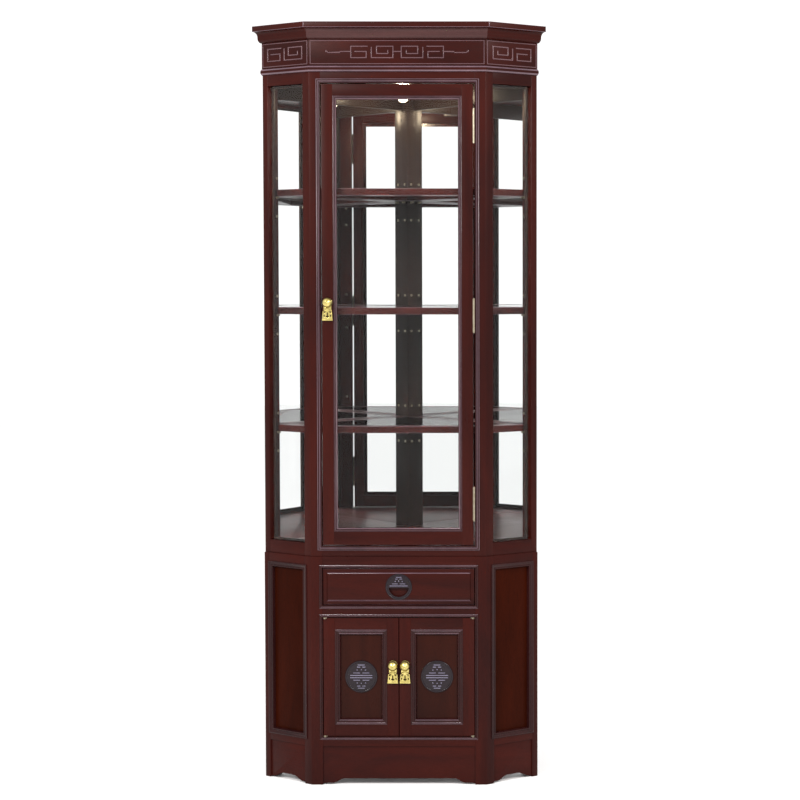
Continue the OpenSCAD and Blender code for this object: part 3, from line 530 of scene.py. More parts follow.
# %% Wood that runs round the front
AROUND_NODES = {"base_rails": 0.4, "upper_rails": 0.4, "front_apron": 1.0,
                "side_aprons": 1.0, "frieze_boards": 0.3, "crown": 1.7, "astragal": 0.4,
                "mirror_rails": 0.8, "shelf_frames": 0.8, "display_floor": 0.6,
                "ceiling_board": 0.6, "top_board": 0.6, "door_rails": 0.4}
# Pieces whose bevels get the painted edge highlight.
HIGHLIGHT_NODES = ("front_apron", "side_aprons", "crown", "astragal", "shelf_frames")
OUTWARD = -0.3
FLANK = (0.45, 0.85)
for node, width in AROUND_NODES.items():
    wood = inside_wood if node == "mirror_rails" else rosewood_front
    piece = eased_copy(node, width * MM, wood,
                       highlight_finish=edge_highlight_wood if node in HIGHLIGHT_NODES else None)
    if wood is rosewood_front:
        sort_grain(piece, rosewood_right, rosewood_left)
    if node == "crown":
        piece.data.materials.append(lit_cove_wood)
    for face in piece.data.polygons:
        outward = face.normal.y < OUTWARD
        # Astragal flanks that face up or down get the painted edge highlight.
        if node == "astragal" and outward and FLANK[0] < abs(face.normal.z) < FLANK[1]:
            face.material_index = HIGHLIGHT_SLOT
        # The crown's front cove below the cap gets the paler copy, painted light.
        elif (node == "crown" and outward and face.material_index == 0
              and face.center.z < CAP_LOW):
            face.material_index = len(piece.data.materials) - 1
    body = "glass_door" if node.startswith("door") else "cabinet"
    slot = "dark_rosewood" if node == "astragal" else "rosewood"
    place(piece, body, None, (node,))
print("lengthwise pieces:", len(AROUND_NODES))

# %% [markdown]
# Some nodes already have the right shape: flat boards that nobody sees closely, panes and
# mirrors, and the turned pins. They stay, and only get a better material.

# %% Nodes that keep their shape
KEPT = {rosewood_front: ("base_floor", "base_deck"),
        inside_wood: ("base_back_panels", "back_boards"),
        inner_wood: ("drawer_runners", "drawer_box", "drawer_bottom"),
        pane_glass: ("side_glass", "door_glass"),
        shelf_pane: ("shelf_glass",),
        silvered: ("mirrors",),
        hinge_brass: ("shelf_pins", "pin_sleeves")}
for material, nodes in KEPT.items():
    for node in nodes:
        frame["nodes"][node].material_slots[0].material = material

# %% [markdown]
# ## Mouldings by insetting
# A moulding that runs round a frame has mitred corners. Insetting a face makes them by
# itself: each inset steps inwards by one stretch of the profile, and its depth raises or
# lowers it. When the profile is done, the face left in the middle is deleted, and the open
# back is closed by bridging its two edges.

# %% Run a moulding round a frame
def mitred(name, x0, x1, z0, z1, y_back, profile):
    """profile: (inwards, outwards) points from the outer edge to the inner edge."""
    bpy.ops.object.select_all(action="DESELECT")
    bpy.ops.mesh.primitive_plane_add(size=1, rotation=(math.pi / 2, 0, 0),
                                     location=((x0 + x1) / 2, y_back, (z0 + z1) / 2))
    ring = bpy.context.object
    ring.name = name
    ring.scale = (x1 - x0, z1 - z0, 1)
    settle(ring)
    edit(ring)
    bpy.ops.mesh.select_all(action="SELECT")
    at = (0, 0)
    for point in profile:
        bpy.ops.mesh.inset(thickness=max(point[0] - at[0], 0.00001), depth=point[1] - at[1],
                           use_even_offset=True)
        at = point
    bpy.ops.mesh.delete(type="ONLY_FACE")
    bpy.ops.mesh.select_mode(type="EDGE")
    bpy.ops.mesh.select_all(action="DESELECT")
    bpy.ops.mesh.select_non_manifold()
    bpy.ops.mesh.bridge_edge_loops()
    bpy.ops.mesh.select_all(action="SELECT")
    bpy.ops.mesh.normals_make_consistent(inside=False)
    return leave(ring, 30)


# Tilt range of crest faces that get the painted highlight.
HIGHLIGHT_TILT = (0.4, 0.85)


def paint_crest_highlights(piece, plain, bright, upright_too):
    """Gives the faces on a moulding's roundings that look up or down the painted highlight
    finish.
    """
    coat(piece, plain, bright)
    for face in piece.data.polygons:
        tilt = max(abs(face.normal.z), abs(face.normal.x) if upright_too else 0)
        face.material_index = int(face.normal.y < -0.35
                                  and HIGHLIGHT_TILT[0] < tilt < HIGHLIGHT_TILT[1])
    return piece


def round_over(start, width, base, height, steps=6):
    """Points of a half-round from start, standing on base."""
    return [((start + width * (1 - math.cos(math.pi * i / steps)) / 2) * MM,
             (base + height * math.sin(math.pi * i / steps)) * MM) for i in range(steps + 1)]


def points(*pairs):
    return [(a * MM, b * MM) for a, b in pairs]

# %% [markdown]
# The glass door's opening is framed by a broad bead with a fine second line inside it. The
# drawer and the cupboard have a slim half-round. Inside the glass door's own frame, a bead
# rolls over and then slopes down to the glass.

# %% Beads round the openings
BROAD, SLIM = 12, 8
BOTTOM_RAIL, TOP_RAIL = 35 * MM, 30 * MM
GLASS_DEPTH = 9.8 * MM

bead_profile = (round_over(0, 7.5, 0.6, 3.4) + round_over(8.3, 3.4, 1.2, 1.2, 4)
                + points((BROAD, 0)))
opening_bead = mitred("opening_bead_finished", -OPEN_HALF - BROAD * MM, OPEN_HALF + BROAD * MM,
                      OPENING[0] - BROAD * MM, OPENING[1] + BROAD * MM, FRONT_Y, bead_profile)
paint_crest_highlights(opening_bead, bead_wood, edge_highlight_wood, True)
place(opening_bead, "cabinet", None, ("opening_bead",))

slim_profile = (round_over(0, 4.6, 0.2, 1.8) + round_over(5.0, 2.8, 0.4, 1.1, 4)
                + points((SLIM, 0)))
base_beads = [mitred("bead", -OPEN_HALF - SLIM * MM, OPEN_HALF + SLIM * MM, low - SLIM * MM,
                     high + SLIM * MM, BASE_Y, slim_profile)
              for low, high in (DRAWER_OPENING, CUPBOARD_OPENING)]
base_bead = paint_crest_highlights(join(base_beads, "base_beads_finished"), bead_wood, edge_highlight_wood, False)
place(base_bead, "cabinet", None, ("base_beads",))

door_profile = points((0, 8.6)) + round_over(0.2, 4.2, 7.6, 1.2) + points(
    (4.8, 6.6), (6.2, 4.2), (8.2, 2.6), (10, 2.2), (10, 0))
door_bead = mitred("door_bead_finished", DOOR[0] + STILE, DOOR[1] - STILE,
                   DOOR[2] + BOTTOM_RAIL, DOOR[3] - TOP_RAIL, FRONT_Y + GLASS_DEPTH,
                   door_profile)
paint_crest_highlights(door_bead, bead_wood, edge_highlight_wood, True)
place(door_bead, "glass_door", None, ("door_bead",))
print("beads round the openings: 4")

# %% [markdown]
# The panels in the canted sides are framed by a moulding with two lines. It is run flat
# first, in the side's own plane, then turned and moved onto the right side, and mirrored
# for the left.

# %% Frames of the side panels
CORNER_OUT = 3 * MM
SIDE_STILE = 14 * MM
SIDE_PANEL = (119 * MM, 578 * MM)
PANEL_DEPTH = 9 * MM
cant_start = SIDE_STILE - CORNER_OUT * math.tan(CANT_ANGLE / 2)
cant_end = CANT_LENGTH - CORNER_OUT / math.tan(WALL_ANGLE) - SIDE_STILE
panel_profile = (round_over(0, 4.4, 10.6, 1.4) + points((5.2, 10.0), (9.5, 9.2))
                 + round_over(9.9, 3.6, 8.4, 1.2, 5) + points((14.2, 6.5), (15, 0)))
right_panel_bead = mitred("right_side_panel_bead", cant_start, cant_end, *SIDE_PANEL,
                          PANEL_DEPTH, panel_profile)
right_panel_bead.rotation_euler.z = CANT_ANGLE
right_panel_bead.location = (FRONT_HALF + CORNER_OUT * math.sin(CANT_ANGLE),
                             FRONT_Y - CORNER_OUT * math.cos(CANT_ANGLE), 0)
settle(right_panel_bead)
left_panel_bead = twin(right_panel_bead, "left_side_panel_bead")
panel_beads = join([right_panel_bead, left_panel_bead], "side_panel_beads_finished")
place(panel_beads, "cabinet", bead_wood, ("side_panel_beads",))
print("side panel frames:", round(cant_end - cant_start, 4), "m wide")

# %% [markdown]
# ## Turned work
# Turned work, like a dome or a disc, starts as a flat circle. Raising its rim ring by ring
# and scaling each ring gives any turned profile.

# %% Turned work
def turned(name, x, y, z, rings, sides=40):
    """rings: (radius, distance from the wall) in metres, growing towards -Y."""
    bpy.ops.object.select_all(action="DESELECT")
    bpy.ops.mesh.primitive_circle_add(vertices=sides, radius=1, fill_type="NGON",
                                      location=(0, 0, 0), rotation=(math.pi / 2, 0, 0))
    piece = bpy.context.object
    piece.name = name
    settle(piece)
    edit(piece)
    bpy.ops.mesh.select_all(action="SELECT")
    first = rings[0]
    bpy.ops.transform.resize(value=(first[0], 1, first[0]))
    bpy.ops.transform.translate(value=(0, -first[1], 0))
    radius, height = first
    for next_radius, next_height in rings[1:]:
        bpy.ops.mesh.extrude_region_move(
            TRANSFORM_OT_translate={"value": (0, height - next_height, 0)})
        share = next_radius / radius
        bpy.ops.transform.resize(value=(share, 1, share))
        radius, height = next_radius, next_height
    leave(piece, 40)
    piece.location = (x, y, z)
    settle(piece)
    return close_up(piece, 40)

# %% [markdown]
# ## Carved roundels
# Each cupboard door carries a carved roundel, and the drawer a smaller one whose lower half
# is a finger hold. The carving is kept to plain geometry: a rim, stacked bars and small
# studs. Bars and studs start as cubes and spheres and are rounded over, and the whole is
# joined to its panel, as if cut from the same wood.

# %% Bars, studs and rims
def bar(x0, x1, z0, z1, y0, y1, ease=1.0 * MM):
    bpy.ops.object.select_all(action="DESELECT")
    bpy.ops.mesh.primitive_cube_add(size=1, location=((x0 + x1) / 2, (y0 + y1) / 2,
                                                      (z0 + z1) / 2))
    piece = bpy.context.object
    piece.scale = (x1 - x0, y1 - y0, z1 - z0)
    settle(piece)
    edit(piece, "EDGE")
    bpy.ops.mesh.select_all(action="SELECT")
    bpy.ops.mesh.bevel(offset=ease, segments=3, affect="EDGES", clamp_overlap=True)
    return leave(piece, 50)


def stud(x, y, z, radius):
    bpy.ops.object.select_all(action="DESELECT")
    bpy.ops.mesh.primitive_uv_sphere_add(segments=16, ring_count=10, radius=radius,
                                         location=(x, y, z))
    piece = bpy.context.object
    piece.scale.y = 0.8
    return leave(settle(piece), 80)


def carved_rows(x, y, z, rows, height):
    """Bars in front of y: (height above the middle, thickness, gap in the middle, reach)."""
    made = []
    for up, thick, gap, reach in rows:
        low, high = z + up - thick / 2, z + up + thick / 2
        spans = ((-reach, -gap), (gap, reach)) if gap else ((-reach, reach),)
        for start, end in spans:
            made.append(bar(x + start, x + end, low, high, y - height, y + 0.5 * MM, 0.6 * MM))
    return made

# %% [markdown]
# A cupboard door is two stiles, two rails, a moulding that steps down to the panel, and the
# panel itself. The stiles and rails come from the CAD node. Its plain moulding is cut away
# and a profiled one takes its place.

# %% The cupboard doors' frames
INNER_X = (LEAF[0] + LEAF_STILE, LEAF[1] - LEAF_STILE)
INNER_Z = (LEAF[2] + LEAF_STILE, LEAF[3] - LEAF_STILE)
PANEL_Y = BASE_Y + PANEL_DEPTH


def frame_members():
    piece = eased_copy("right_door_frame", 1.0 * MM, rosewood_up)
    mesh = edit(piece)
    for face in mesh.faces:
        face.select_set(all(INNER_X[0] <= v.co.x <= INNER_X[1] and INNER_Z[0] <= v.co.z
                            <= INNER_Z[1] for v in face.verts))
    bmesh.update_edit_mesh(piece.data)
    bpy.ops.mesh.delete(type="FACE")
    leave(piece, 38)
    piece.data.materials.append(rosewood_front)
    for face in piece.data.polygons:
        if face.material_index != HIGHLIGHT_SLOT and INNER_X[0] < face.center.x < INNER_X[1]:
            face.material_index = len(piece.data.materials) - 1
    return piece


leaf_profile = (points((0, 9.2)) + round_over(0.3, 4.0, 9.2, 1.3) + points((5.0, 8.6), (8.8, 7.2))
                + round_over(9.2, 3.4, 6.0, 1.3, 5) + points((13.4, 4.4), (14.4, 1.2), (15, 0)))
moulding = mitred("leaf_moulding", *INNER_X, *INNER_Z, PANEL_Y, leaf_profile)
paint_crest_highlights(moulding, bead_wood, edge_highlight_wood, False)
right_frame = join([frame_members(), moulding], "right_door_frame_finished")
left_frame = twin(right_frame, "left_door_frame_finished")
place(right_frame, "right_door", None, ("right_door_frame",))
place(left_frame, "left_door", None, ("left_door_frame",))
print("cupboard door frames: 2")

# %% The cupboard doors' carved panels
ROUNDEL = 42 * MM
leaf_mid_x = (LEAF[0] + LEAF[1]) / 2
leaf_mid_z = (LEAF[2] + LEAF[3]) / 2


def roundel_disc(name, x, y, z, radius, height):
    """A disc with a raised rim round a field that lies lower."""
    rings = [(radius, -0.4 * MM), (radius, height - 0.9 * MM),
             (radius - 0.4 * MM, height - 0.3 * MM), (radius - 1.3 * MM, height),
             (radius - 3.2 * MM, height), (radius - 4.0 * MM, height - 0.5 * MM),
             (radius - 4.6 * MM, height - 1.3 * MM), (2 * MM, height - 1.3 * MM)]
    return turned(name, x, y, z, rings, 64)


BARS = ((3.0, 2.3, 0, 29), (-3.0, 2.3, 0, 29), (9.5, 2.0, 3, 21), (-9.5, 2.0, 3, 21),
        (25.0, 2.4, 2.5, 11), (-25.0, 2.4, 2.5, 11), (30.5, 2.2, 0, 9), (-30.5, 2.2, 0, 9))
STUDS = ((0, 18), (-11, 17), (11, 17), (0, -18), (-11, -17), (11, -17))


def carving(x, y, z, radius, height, low_limit=-math.inf):
    """Bars and studs for a roundel, left out where they lie under low_limit."""
    scale = radius / ROUNDEL
    rows = [tuple(value * scale * MM for value in row) for row in BARS if row[0] > low_limit]
    made = carved_rows(x, y, z, rows, height)
    made += [stud(x + across * scale * MM, y, z + up * scale * MM, 1.7 * MM)
             for across, up in STUDS if up > low_limit]
    return made


panel = bar(*INNER_X, *INNER_Z, PANEL_Y, PANEL_Y + 8 * MM, 0.8 * MM)
coat(panel, panel_wood)
disc = roundel_disc("disc", leaf_mid_x, PANEL_Y, leaf_mid_z, ROUNDEL, 3.6 * MM)
coat(disc, carved_wood)
relief = join(carving(leaf_mid_x, PANEL_Y - 2.3 * MM, leaf_mid_z, ROUNDEL, 1.5 * MM), "relief")
# Bars and studs get the pale finish, a painted highlight.
coat(relief, carving_highlight_wood)
right_panel = join([panel, disc, relief], "right_door_panel_finished")
left_panel = twin(right_panel, "left_door_panel_finished")
place(right_panel, "right_door", None, ("right_door_panel",))
place(left_panel, "left_door", None, ("left_door_panel",))
print("carved panels: 2")

# %% [markdown]
# The drawer front is one thick board whose edge is cut back all round, so a raised field
# stands inside a fine line. Insetting the front face again and again makes the step. A
# half-round cutter then takes the finger hold out of the board and out of its roundel.

# %% The drawer's board
DRAWER_GAP = 2 * MM
DRAWER_SET_BACK = 2 * MM
DRAWER_THICK = 18 * MM
drawer_x = OPEN_HALF - DRAWER_GAP
drawer_z = (DRAWER_OPENING[0] + DRAWER_GAP, DRAWER_OPENING[1] - DRAWER_GAP)
drawer_mid = (drawer_z[0] + drawer_z[1]) / 2
drawer_y = BASE_Y + DRAWER_SET_BACK

bpy.ops.object.select_all(action="DESELECT")
bpy.ops.mesh.primitive_cube_add(size=1, location=(0, drawer_y + DRAWER_THICK / 2, drawer_mid))
drawer_front = bpy.context.object
drawer_front.scale = (2 * drawer_x, DRAWER_THICK, drawer_z[1] - drawer_z[0])
settle(drawer_front)
mesh = edit(drawer_front)
for face in mesh.faces:
    face.select_set(face.normal.y < -0.9)
bmesh.update_edit_mesh(drawer_front.data)
for thickness, depth in ((9 * MM, 0.0001 * MM), (0.5 * MM, -0.6 * MM), (1.0 * MM, 0.2 * MM),
                         (0.9 * MM, 1.5 * MM), (1.0 * MM, 0.7 * MM), (1.2 * MM, 0.2 * MM)):
    bpy.ops.mesh.inset(thickness=thickness, depth=depth, use_even_offset=True)
bpy.ops.mesh.select_mode(type="EDGE")
bpy.ops.mesh.select_all(action="DESELECT")
mesh = bmesh.from_edit_mesh(drawer_front.data)
for edge in mesh.edges:
    edge.select_set(edge.calc_face_angle(0) > math.radians(60)
                    and abs(edge.verts[0].co.y - drawer_y) < 0.05 * MM
                    and edge.calc_length() > 80 * MM
                    and max(abs(v.co.x) for v in edge.verts) > drawer_x - 0.1 * MM)
bmesh.update_edit_mesh(drawer_front.data)
bpy.ops.mesh.bevel(offset=0.8 * MM, segments=3, affect="EDGES", clamp_overlap=True)
leave(drawer_front, 30)
print("drawer board:", round(2 * drawer_x, 4), "m wide")

# %% The finger hold
DRAWER_ROUNDEL = 34.5 * MM
HOLD_R = 26.5 * MM
HOLD_DEPTH = 10 * MM
HOLD_DOWN = 3 * MM

bpy.ops.object.select_all(action="DESELECT")
bpy.ops.mesh.primitive_cylinder_add(vertices=64, radius=HOLD_R, depth=24 * MM,
                                    location=(0, BASE_Y + HOLD_DEPTH - 12 * MM, drawer_mid),
                                    rotation=(math.pi / 2, 0, 0))
cutter = settle(bpy.context.object)
edit(cutter)
bpy.ops.mesh.select_all(action="SELECT")
bpy.ops.mesh.bisect(plane_co=(0, 0, drawer_mid - HOLD_DOWN), plane_no=(0, 0, 1),
                    use_fill=True, clear_outer=True)
leave(cutter)
drawer_disc = roundel_disc("drawer_disc", 0, BASE_Y, drawer_mid, DRAWER_ROUNDEL, 2 * MM)
for piece, materials in ((drawer_front, (rosewood_front, edge_highlight_wood)),
                         (drawer_disc, (carved_wood,))):
    pick(piece)
    cut = piece.modifiers.new("Finger hold", "BOOLEAN")
    cut.object = cutter
    cut.operation = "DIFFERENCE"
    cut.solver = "EXACT"
    bpy.ops.object.modifier_apply(modifier=cut.name)
    leave(piece, 30)
    coat(piece, *materials)
bpy.data.objects.remove(cutter)
# Faces of the stepped edge that tilt up or down get the painted edge highlight.
for face in drawer_front.data.polygons:
    if abs(face.normal.z) > 0.3 and -0.95 < face.normal.y < -0.3:
        face.material_index = HIGHLIGHT_SLOT

# %% The drawer's carving
drawer_relief = join(carving(0, BASE_Y - 0.9 * MM, drawer_mid, DRAWER_ROUNDEL, 1.1 * MM, 0),
                     "drawer_relief")
# The drawer's bars and studs get the same painted highlight.
coat(drawer_relief, carving_highlight_wood)
drawer_piece = join([drawer_front, drawer_disc, drawer_relief], "drawer_front_finished")
place(drawer_piece, "drawer", None, ("drawer_front",))
print("drawer front faces:", len(drawer_piece.data.polygons))

# %% [markdown]
# ## The key fret on the frieze
# A key fret is drawn on a square lattice. So the way to model it is a grid whose cells are
# as wide as the line: the cells under the line are kept, the rest are deleted, and what is
# left is raised and its edges rounded. The path is written as corners on the lattice.

# %% Draw a fret on a lattice
SPIRALS = (((16, 11), (0, 11), (0, 0), (15, 0), (15, 6), (4, 6)),
           ((20, 10), (20, 0), (41, 0), (41, 11), (25, 11), (25, 4), (36, 4), (36, 7)))


def cells_along(path):
    found = set()
    for (c0, r0), (c1, r1) in zip(path, path[1:]):
        steps = max(abs(c1 - c0), abs(r1 - r0), 1)
        for i in range(steps + 1):
            found.add((round(c0 + (c1 - c0) * i / steps), round(r0 + (r1 - r0) * i / steps)))
    return found


def lattice(name, cells, size, height, ease):
    """Raises the cells, in the XZ plane round the origin, towards -Y."""
    columns = [c for c, r in cells]
    rows = [r for c, r in cells]
    wide, tall = max(columns) - min(columns) + 1, max(rows) - min(rows) + 1
    bpy.ops.object.select_all(action="DESELECT")
    bpy.ops.mesh.primitive_grid_add(x_subdivisions=wide, y_subdivisions=tall, size=1,
                                    rotation=(math.pi / 2, 0, 0))
    piece = bpy.context.object
    piece.name = name
    piece.scale = (wide * size, tall * size, 1)
    settle(piece)
    mesh = edit(piece)
    for face in mesh.faces:
        middle = face.calc_center_median()
        column = round(middle.x / size + (wide - 1) / 2) + min(columns)
        row = round(middle.z / size + (tall - 1) / 2) + min(rows)
        face.select_set((column, row) not in cells)
    bmesh.update_edit_mesh(piece.data)
    bpy.ops.mesh.delete(type="FACE")
    bpy.ops.mesh.select_all(action="SELECT")
    bpy.ops.mesh.dissolve_limited(angle_limit=0.01)
    bpy.ops.mesh.select_all(action="SELECT")
    bpy.ops.mesh.extrude_region_move(TRANSFORM_OT_translate={"value": (0, -height, 0)})
    bpy.ops.mesh.select_all(action="SELECT")
    bpy.ops.mesh.normals_make_consistent(inside=False)
    bpy.ops.mesh.select_mode(type="EDGE")
    bpy.ops.mesh.select_all(action="DESELECT")
    mesh = bmesh.from_edit_mesh(piece.data)
    for edge in mesh.edges:
        edge.select_set(len(edge.link_faces) == 2 and edge.calc_face_angle(0) > 1
                        and all(v.co.y < -height / 2 for v in edge.verts))
    bmesh.update_edit_mesh(piece.data)
    bpy.ops.mesh.bevel(offset=ease, segments=3, affect="EDGES", clamp_overlap=True)
    return leave(piece, 60)

# %% [markdown]
# The front frieze has four spirals, mirrored about its middle, with a thin tail on either side.
# Each canted frieze has two. The lines are narrow and well rounded, and their paler wood is a
# painted highlight, so they read as fine bright threads. A slim raised line frames every frieze.

# %% The frets on the three friezes
FRIEZE_MID = 1905.5 * MM
FRIEZE_OUT = 2 * MM
FRIEZE_Y = FRONT_Y - FRIEZE_OUT
FRIEZE_FRAME = (1874.5 * MM, 1936 * MM)
FRIEZE_MARGIN = 3 * MM
FRET_CELL = 2.65 * MM
FRET_RISE, FRET_EASE = 1.7 * MM, 0.9 * MM
PAIR_COLUMNS = 42
HALF_LINK = 3
SIDE_GROWTH = 1.08

pair = cells_along(SPIRALS[0]) | cells_along(SPIRALS[1])
tail = cells_along(((0, 6), (-9, 6), (-12, 5), (-22, 5), (-24, 6), (-24, 7)))
half = {(c - PAIR_COLUMNS - HALF_LINK, r) for c, r in pair | tail}
half |= cells_along(((-HALF_LINK, 6), (0, 6)))
front_fret = lattice("front_fret", half | {(-c, r) for c, r in half}, FRET_CELL, FRET_RISE,
                     FRET_EASE)
front_fret.location = (0, FRIEZE_Y, FRIEZE_MID)
settle(front_fret)
border = round_over(0, 2.2, 0, 1.0, 5)
front_border = mitred("front_border", -FRONT_HALF + FRIEZE_MARGIN, FRONT_HALF - FRIEZE_MARGIN,
                      *FRIEZE_FRAME, FRIEZE_Y, border)
# Fret and border get the paler wood, a painted highlight.
for piece in (front_fret, front_border):
    coat(piece, fret_highlight_wood)
place(join([front_fret, front_border], "front_frieze_relief"), "cabinet", None)

side_fret = lattice("right_fret", {(-c, r) for c, r in pair}, FRET_CELL * SIDE_GROWTH,
                    FRET_RISE, FRET_EASE)
side_fret.location = (CANT_LENGTH / 2, 0, FRIEZE_MID)
settle(side_fret)
side_border = mitred("right_border", FRIEZE_MARGIN, CANT_LENGTH - FRIEZE_MARGIN,
                     *FRIEZE_FRAME, 0, border)
side_relief = join([side_fret, side_border], "right_frieze_relief")
side_relief.rotation_euler.z = CANT_ANGLE
side_relief.location = (FRONT_HALF + FRIEZE_OUT * math.sin(CANT_ANGLE),
                        FRONT_Y - FRIEZE_OUT * math.cos(CANT_ANGLE), 0)
settle(side_relief)
left_relief = twin(side_relief, "left_frieze_relief")
# The canted frets get the same painted highlight.
place(side_relief, "cabinet", fret_highlight_wood)
place(left_relief, "cabinet", fret_highlight_wood)
print("fret cells on the front:", 2 * len(half))

# %% [markdown]
# ## Brass
# The doors' pulls have a pointed dome on a rosette, and under it a pierced plate that swings
# on a small pin.

# %% A pull's fixed part
KNOB_R = 13 * MM
PIN_Z = -15.5 * MM
PIN_Y = -5 * MM


def pull_knob(name, x, y, z):
    dome = [(KNOB_R * 0.92, 0), (KNOB_R * 0.98, 0.6 * MM), (KNOB_R * 0.94, 1.5 * MM),
            (KNOB_R * 0.72, 2.0 * MM), (KNOB_R * 0.46, 2.8 * MM), (KNOB_R * 0.38, 4.4 * MM),
            (KNOB_R * 0.42, 6.4 * MM), (KNOB_R * 0.80, 7.8 * MM), (KNOB_R * 0.98, 8.8 * MM)]
    dome += [(KNOB_R * math.cos(math.radians(a)), (9.6 + 12.2 * math.sin(math.radians(a))) * MM)
             for a in range(0, 70, 8)]
    dome += [(KNOB_R * 0.28, 21.5 * MM), (KNOB_R * 0.16, 22.4 * MM), (KNOB_R * 0.10, 23.4 * MM),
             (KNOB_R * 0.03, 23.9 * MM)]
    made = [turned(name, x, y, z, dome)]
    made.append(bar(x - 10 * MM, x + 10 * MM, z + PIN_Z - 4 * MM, z - 8 * MM, y - 1.5 * MM, y,
                    0.6 * MM))
    for side in (-1, 1):
        made.append(bar(x + (side * 4 - 1) * MM, x + (side * 4 + 1) * MM, z + PIN_Z - 2.3 * MM,
                        z + PIN_Z + 2.3 * MM, y + PIN_Y - 2.2 * MM, y - 1 * MM, 0.7 * MM))
    bpy.ops.object.select_all(action="DESELECT")
    bpy.ops.mesh.primitive_cylinder_add(vertices=20, radius=1 * MM, depth=11 * MM,
                                        location=(x, y + PIN_Y, z + PIN_Z),
                                        rotation=(0, math.pi / 2, 0))
    pin = settle(bpy.context.object)
    edit(pin, "EDGE")
    bpy.ops.mesh.select_all(action="SELECT")
    bpy.ops.mesh.bevel(offset=0.2 * MM, segments=2, affect="EDGES", clamp_overlap=True)
    made.append(leave(pin, 50))
    return join(made, name)

# %% [markdown]
# The swinging plate is pierced. It is drawn on a lattice like the fret, with letters for
# the metal, then flared towards its lower edge by scaling each row of vertices. The drawing
# is plain lattice work.

# %% A pull's pierced plate
PLATE = ("...###...",
         ".#######.",
         "#..###..#",
         "#.##.##.#",
         "####.####",
         "#.##.##.#",
         "#.#...#.#",
         "####.####",
         "#########",
         "#########")
PLATE_CELL = 2.95 * MM


def pull_plate(name, x, y, z):
    cells = {(c, -r) for r, row in enumerate(PLATE) for c, mark in enumerate(row) if mark == "#"}
    plate = lattice(name, cells, PLATE_CELL, 1.6 * MM, 0.4 * MM)
    top = len(PLATE) * PLATE_CELL / 2
    for vertex in plate.data.vertices:
        down = (top - vertex.co.z) / (2 * top)
        vertex.co.x *= 0.86 + 0.16 * down
    plate.location = (x, y + PIN_Y + 0.8 * MM, z + PIN_Z - 1.2 * MM - top)
    settle(plate)
    bpy.ops.object.select_all(action="DESELECT")
    bpy.ops.mesh.primitive_cylinder_add(vertices=24, radius=2.2 * MM, depth=5.6 * MM,
                                        location=(x, y + PIN_Y, z + PIN_Z),
                                        rotation=(0, math.pi / 2, 0))
    barrel = settle(bpy.context.object)
    mesh = edit(barrel)
    for face in mesh.faces:
        face.select_set(abs(face.normal.x) > 0.9)
    bmesh.update_edit_mesh(barrel.data)
    bpy.ops.mesh.inset(thickness=1.1 * MM, depth=0)
    leave(barrel, 50)
    foot = bar(x - 14 * MM, x + 14 * MM, z + PIN_Z - 1.8 * MM - 2 * top,
               z + PIN_Z + 1.8 * MM - 2 * top, y + PIN_Y - 1.6 * MM, y + PIN_Y + 0.9 * MM,
               0.8 * MM)
    return join([plate, barrel, foot], name)


GLASS_DOOR_PULL_Z = 1261 * MM
LEAF_PULL_X, LEAF_PULL_Z = 16 * MM, 315 * MM
PULLS = (("door", "glass_door", "glass_door_drop",
          (DOOR[0] + STILE / 2, FRONT_Y, GLASS_DOOR_PULL_Z)),
         ("left_door", "left_door", "left_door_pull", (-LEAF_PULL_X, BASE_Y, LEAF_PULL_Z)),
         ("right_door", "right_door", "right_door_pull", (LEAF_PULL_X, BASE_Y, LEAF_PULL_Z)))
for prefix, body, drop_body, spot in PULLS:
    place(pull_knob(prefix + "_knob_finished", *spot), body, brass,
          (prefix + "_knob",))
    place(pull_plate(prefix + "_drop_finished", *spot), drop_body, brass,
          (prefix + "_drop",))
print("pulls:", len(PULLS))

# %% [markdown]
# ## Hinges, lamp and small parts
# Hinge leaves, pivots and the lamp already have their real shapes in CAD. They only need
# their edges broken, by a fraction of a millimetre, so that the metal catches light.

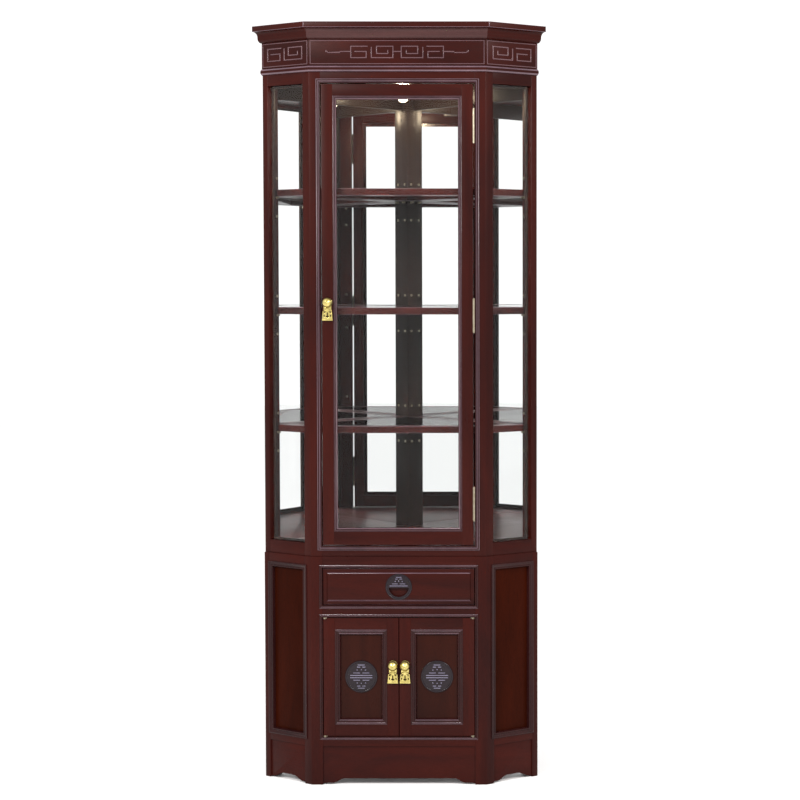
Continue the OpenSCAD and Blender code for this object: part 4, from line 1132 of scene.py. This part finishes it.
# %% Small parts
SMALL = (("hinge_frame_leaves", "cabinet", "brass", hinge_brass),
         ("hinge_pins", "cabinet", "brass", hinge_brass),
         ("hinge_door_leaves", "glass_door", "brass", hinge_brass),
         ("pivot_plates", "cabinet", "brass", hinge_brass),
         ("left_door_pivots", "left_door", "brass", hinge_brass),
         ("right_door_pivots", "right_door", "brass", hinge_brass),
         ("lamp_housing", "cabinet", "lamp_enamel", enamel),
         ("lamp_bulb", "cabinet", "lamp_glow", glow),
         ("cord_grommet", "cabinet", "black_rubber", rubber),
         ("door_catches", "cabinet", "catch_plastic", catch_finish))
for node, body, slot, material in SMALL:
    place(eased_copy(node, 0.15 * MM, material, 0.8 * MM, material), body, material,
          (node,))
print("small parts:", len(SMALL))

# %% [markdown]
# ## Light
# The cabinet stood in an even white surrounding, which its mirrors show. Two soft boxes, high on
# the left and right, draw thin bright lines on the beads, and a paler painted highlight on the
# crests adds to them. The floor is as pale as the surroundings, so only a soft shadow tells them
# apart. A warm lamp inside lights the top compartment.

# %% Surroundings, floor and lamps
WHITE_LEVEL = 1.15
FLOOR_SIZE = 30
BULB_DROP = 22 * MM
BULB_POWER = 3.5
scene = bpy.context.scene
scene.view_settings.view_transform = "Standard"
world = bpy.data.worlds.new("White studio")
scene.world = world
world.use_nodes = True
world.node_tree.nodes["Background"].inputs["Color"].default_value = (1, 1, 1, 1)
world.node_tree.nodes["Background"].inputs["Strength"].default_value = WHITE_LEVEL

bpy.ops.object.select_all(action="DESELECT")
bpy.ops.mesh.primitive_plane_add(size=FLOOR_SIZE)
floor = bpy.context.object
floor.name = "floor"
coat(floor, plain_finish("Pale floor", (0.88, 0.88, 0.88), (0.87, 0.87, 0.87), 0.6, 0.5,
                         Specular_IOR_Level=0.1))


def soft_box(name, place_at, aim, size, power, colour=(1, 1, 1)):
    bpy.ops.object.select_all(action="DESELECT")
    bpy.ops.object.light_add(type="AREA", location=place_at)
    lamp = bpy.context.object
    lamp.name = name
    lamp.data.size = size
    lamp.data.energy = power
    lamp.data.color = colour
    lamp.rotation_euler = (Vector(aim) - Vector(place_at)).to_track_quat("-Z", "Y").to_euler()


soft_box("Left box", (-2.0, -2.9, 2.7), (0, 0, 1.3), 0.8, 120, (1, 0.97, 0.95))
soft_box("Right box", (2.2, -2.7, 2.7), (0, 0, 1.3), 0.8, 100, (1, 0.96, 0.92))

bpy.ops.object.select_all(action="DESELECT")
bpy.ops.object.light_add(type="POINT", location=(LAMP[0], LAMP[1], LAMP[2] - BULB_DROP))
lamp = bpy.context.object
lamp.data.energy = BULB_POWER
lamp.data.color = (1, 0.80, 0.55)
lamp.data.shadow_soft_size = 16 * MM
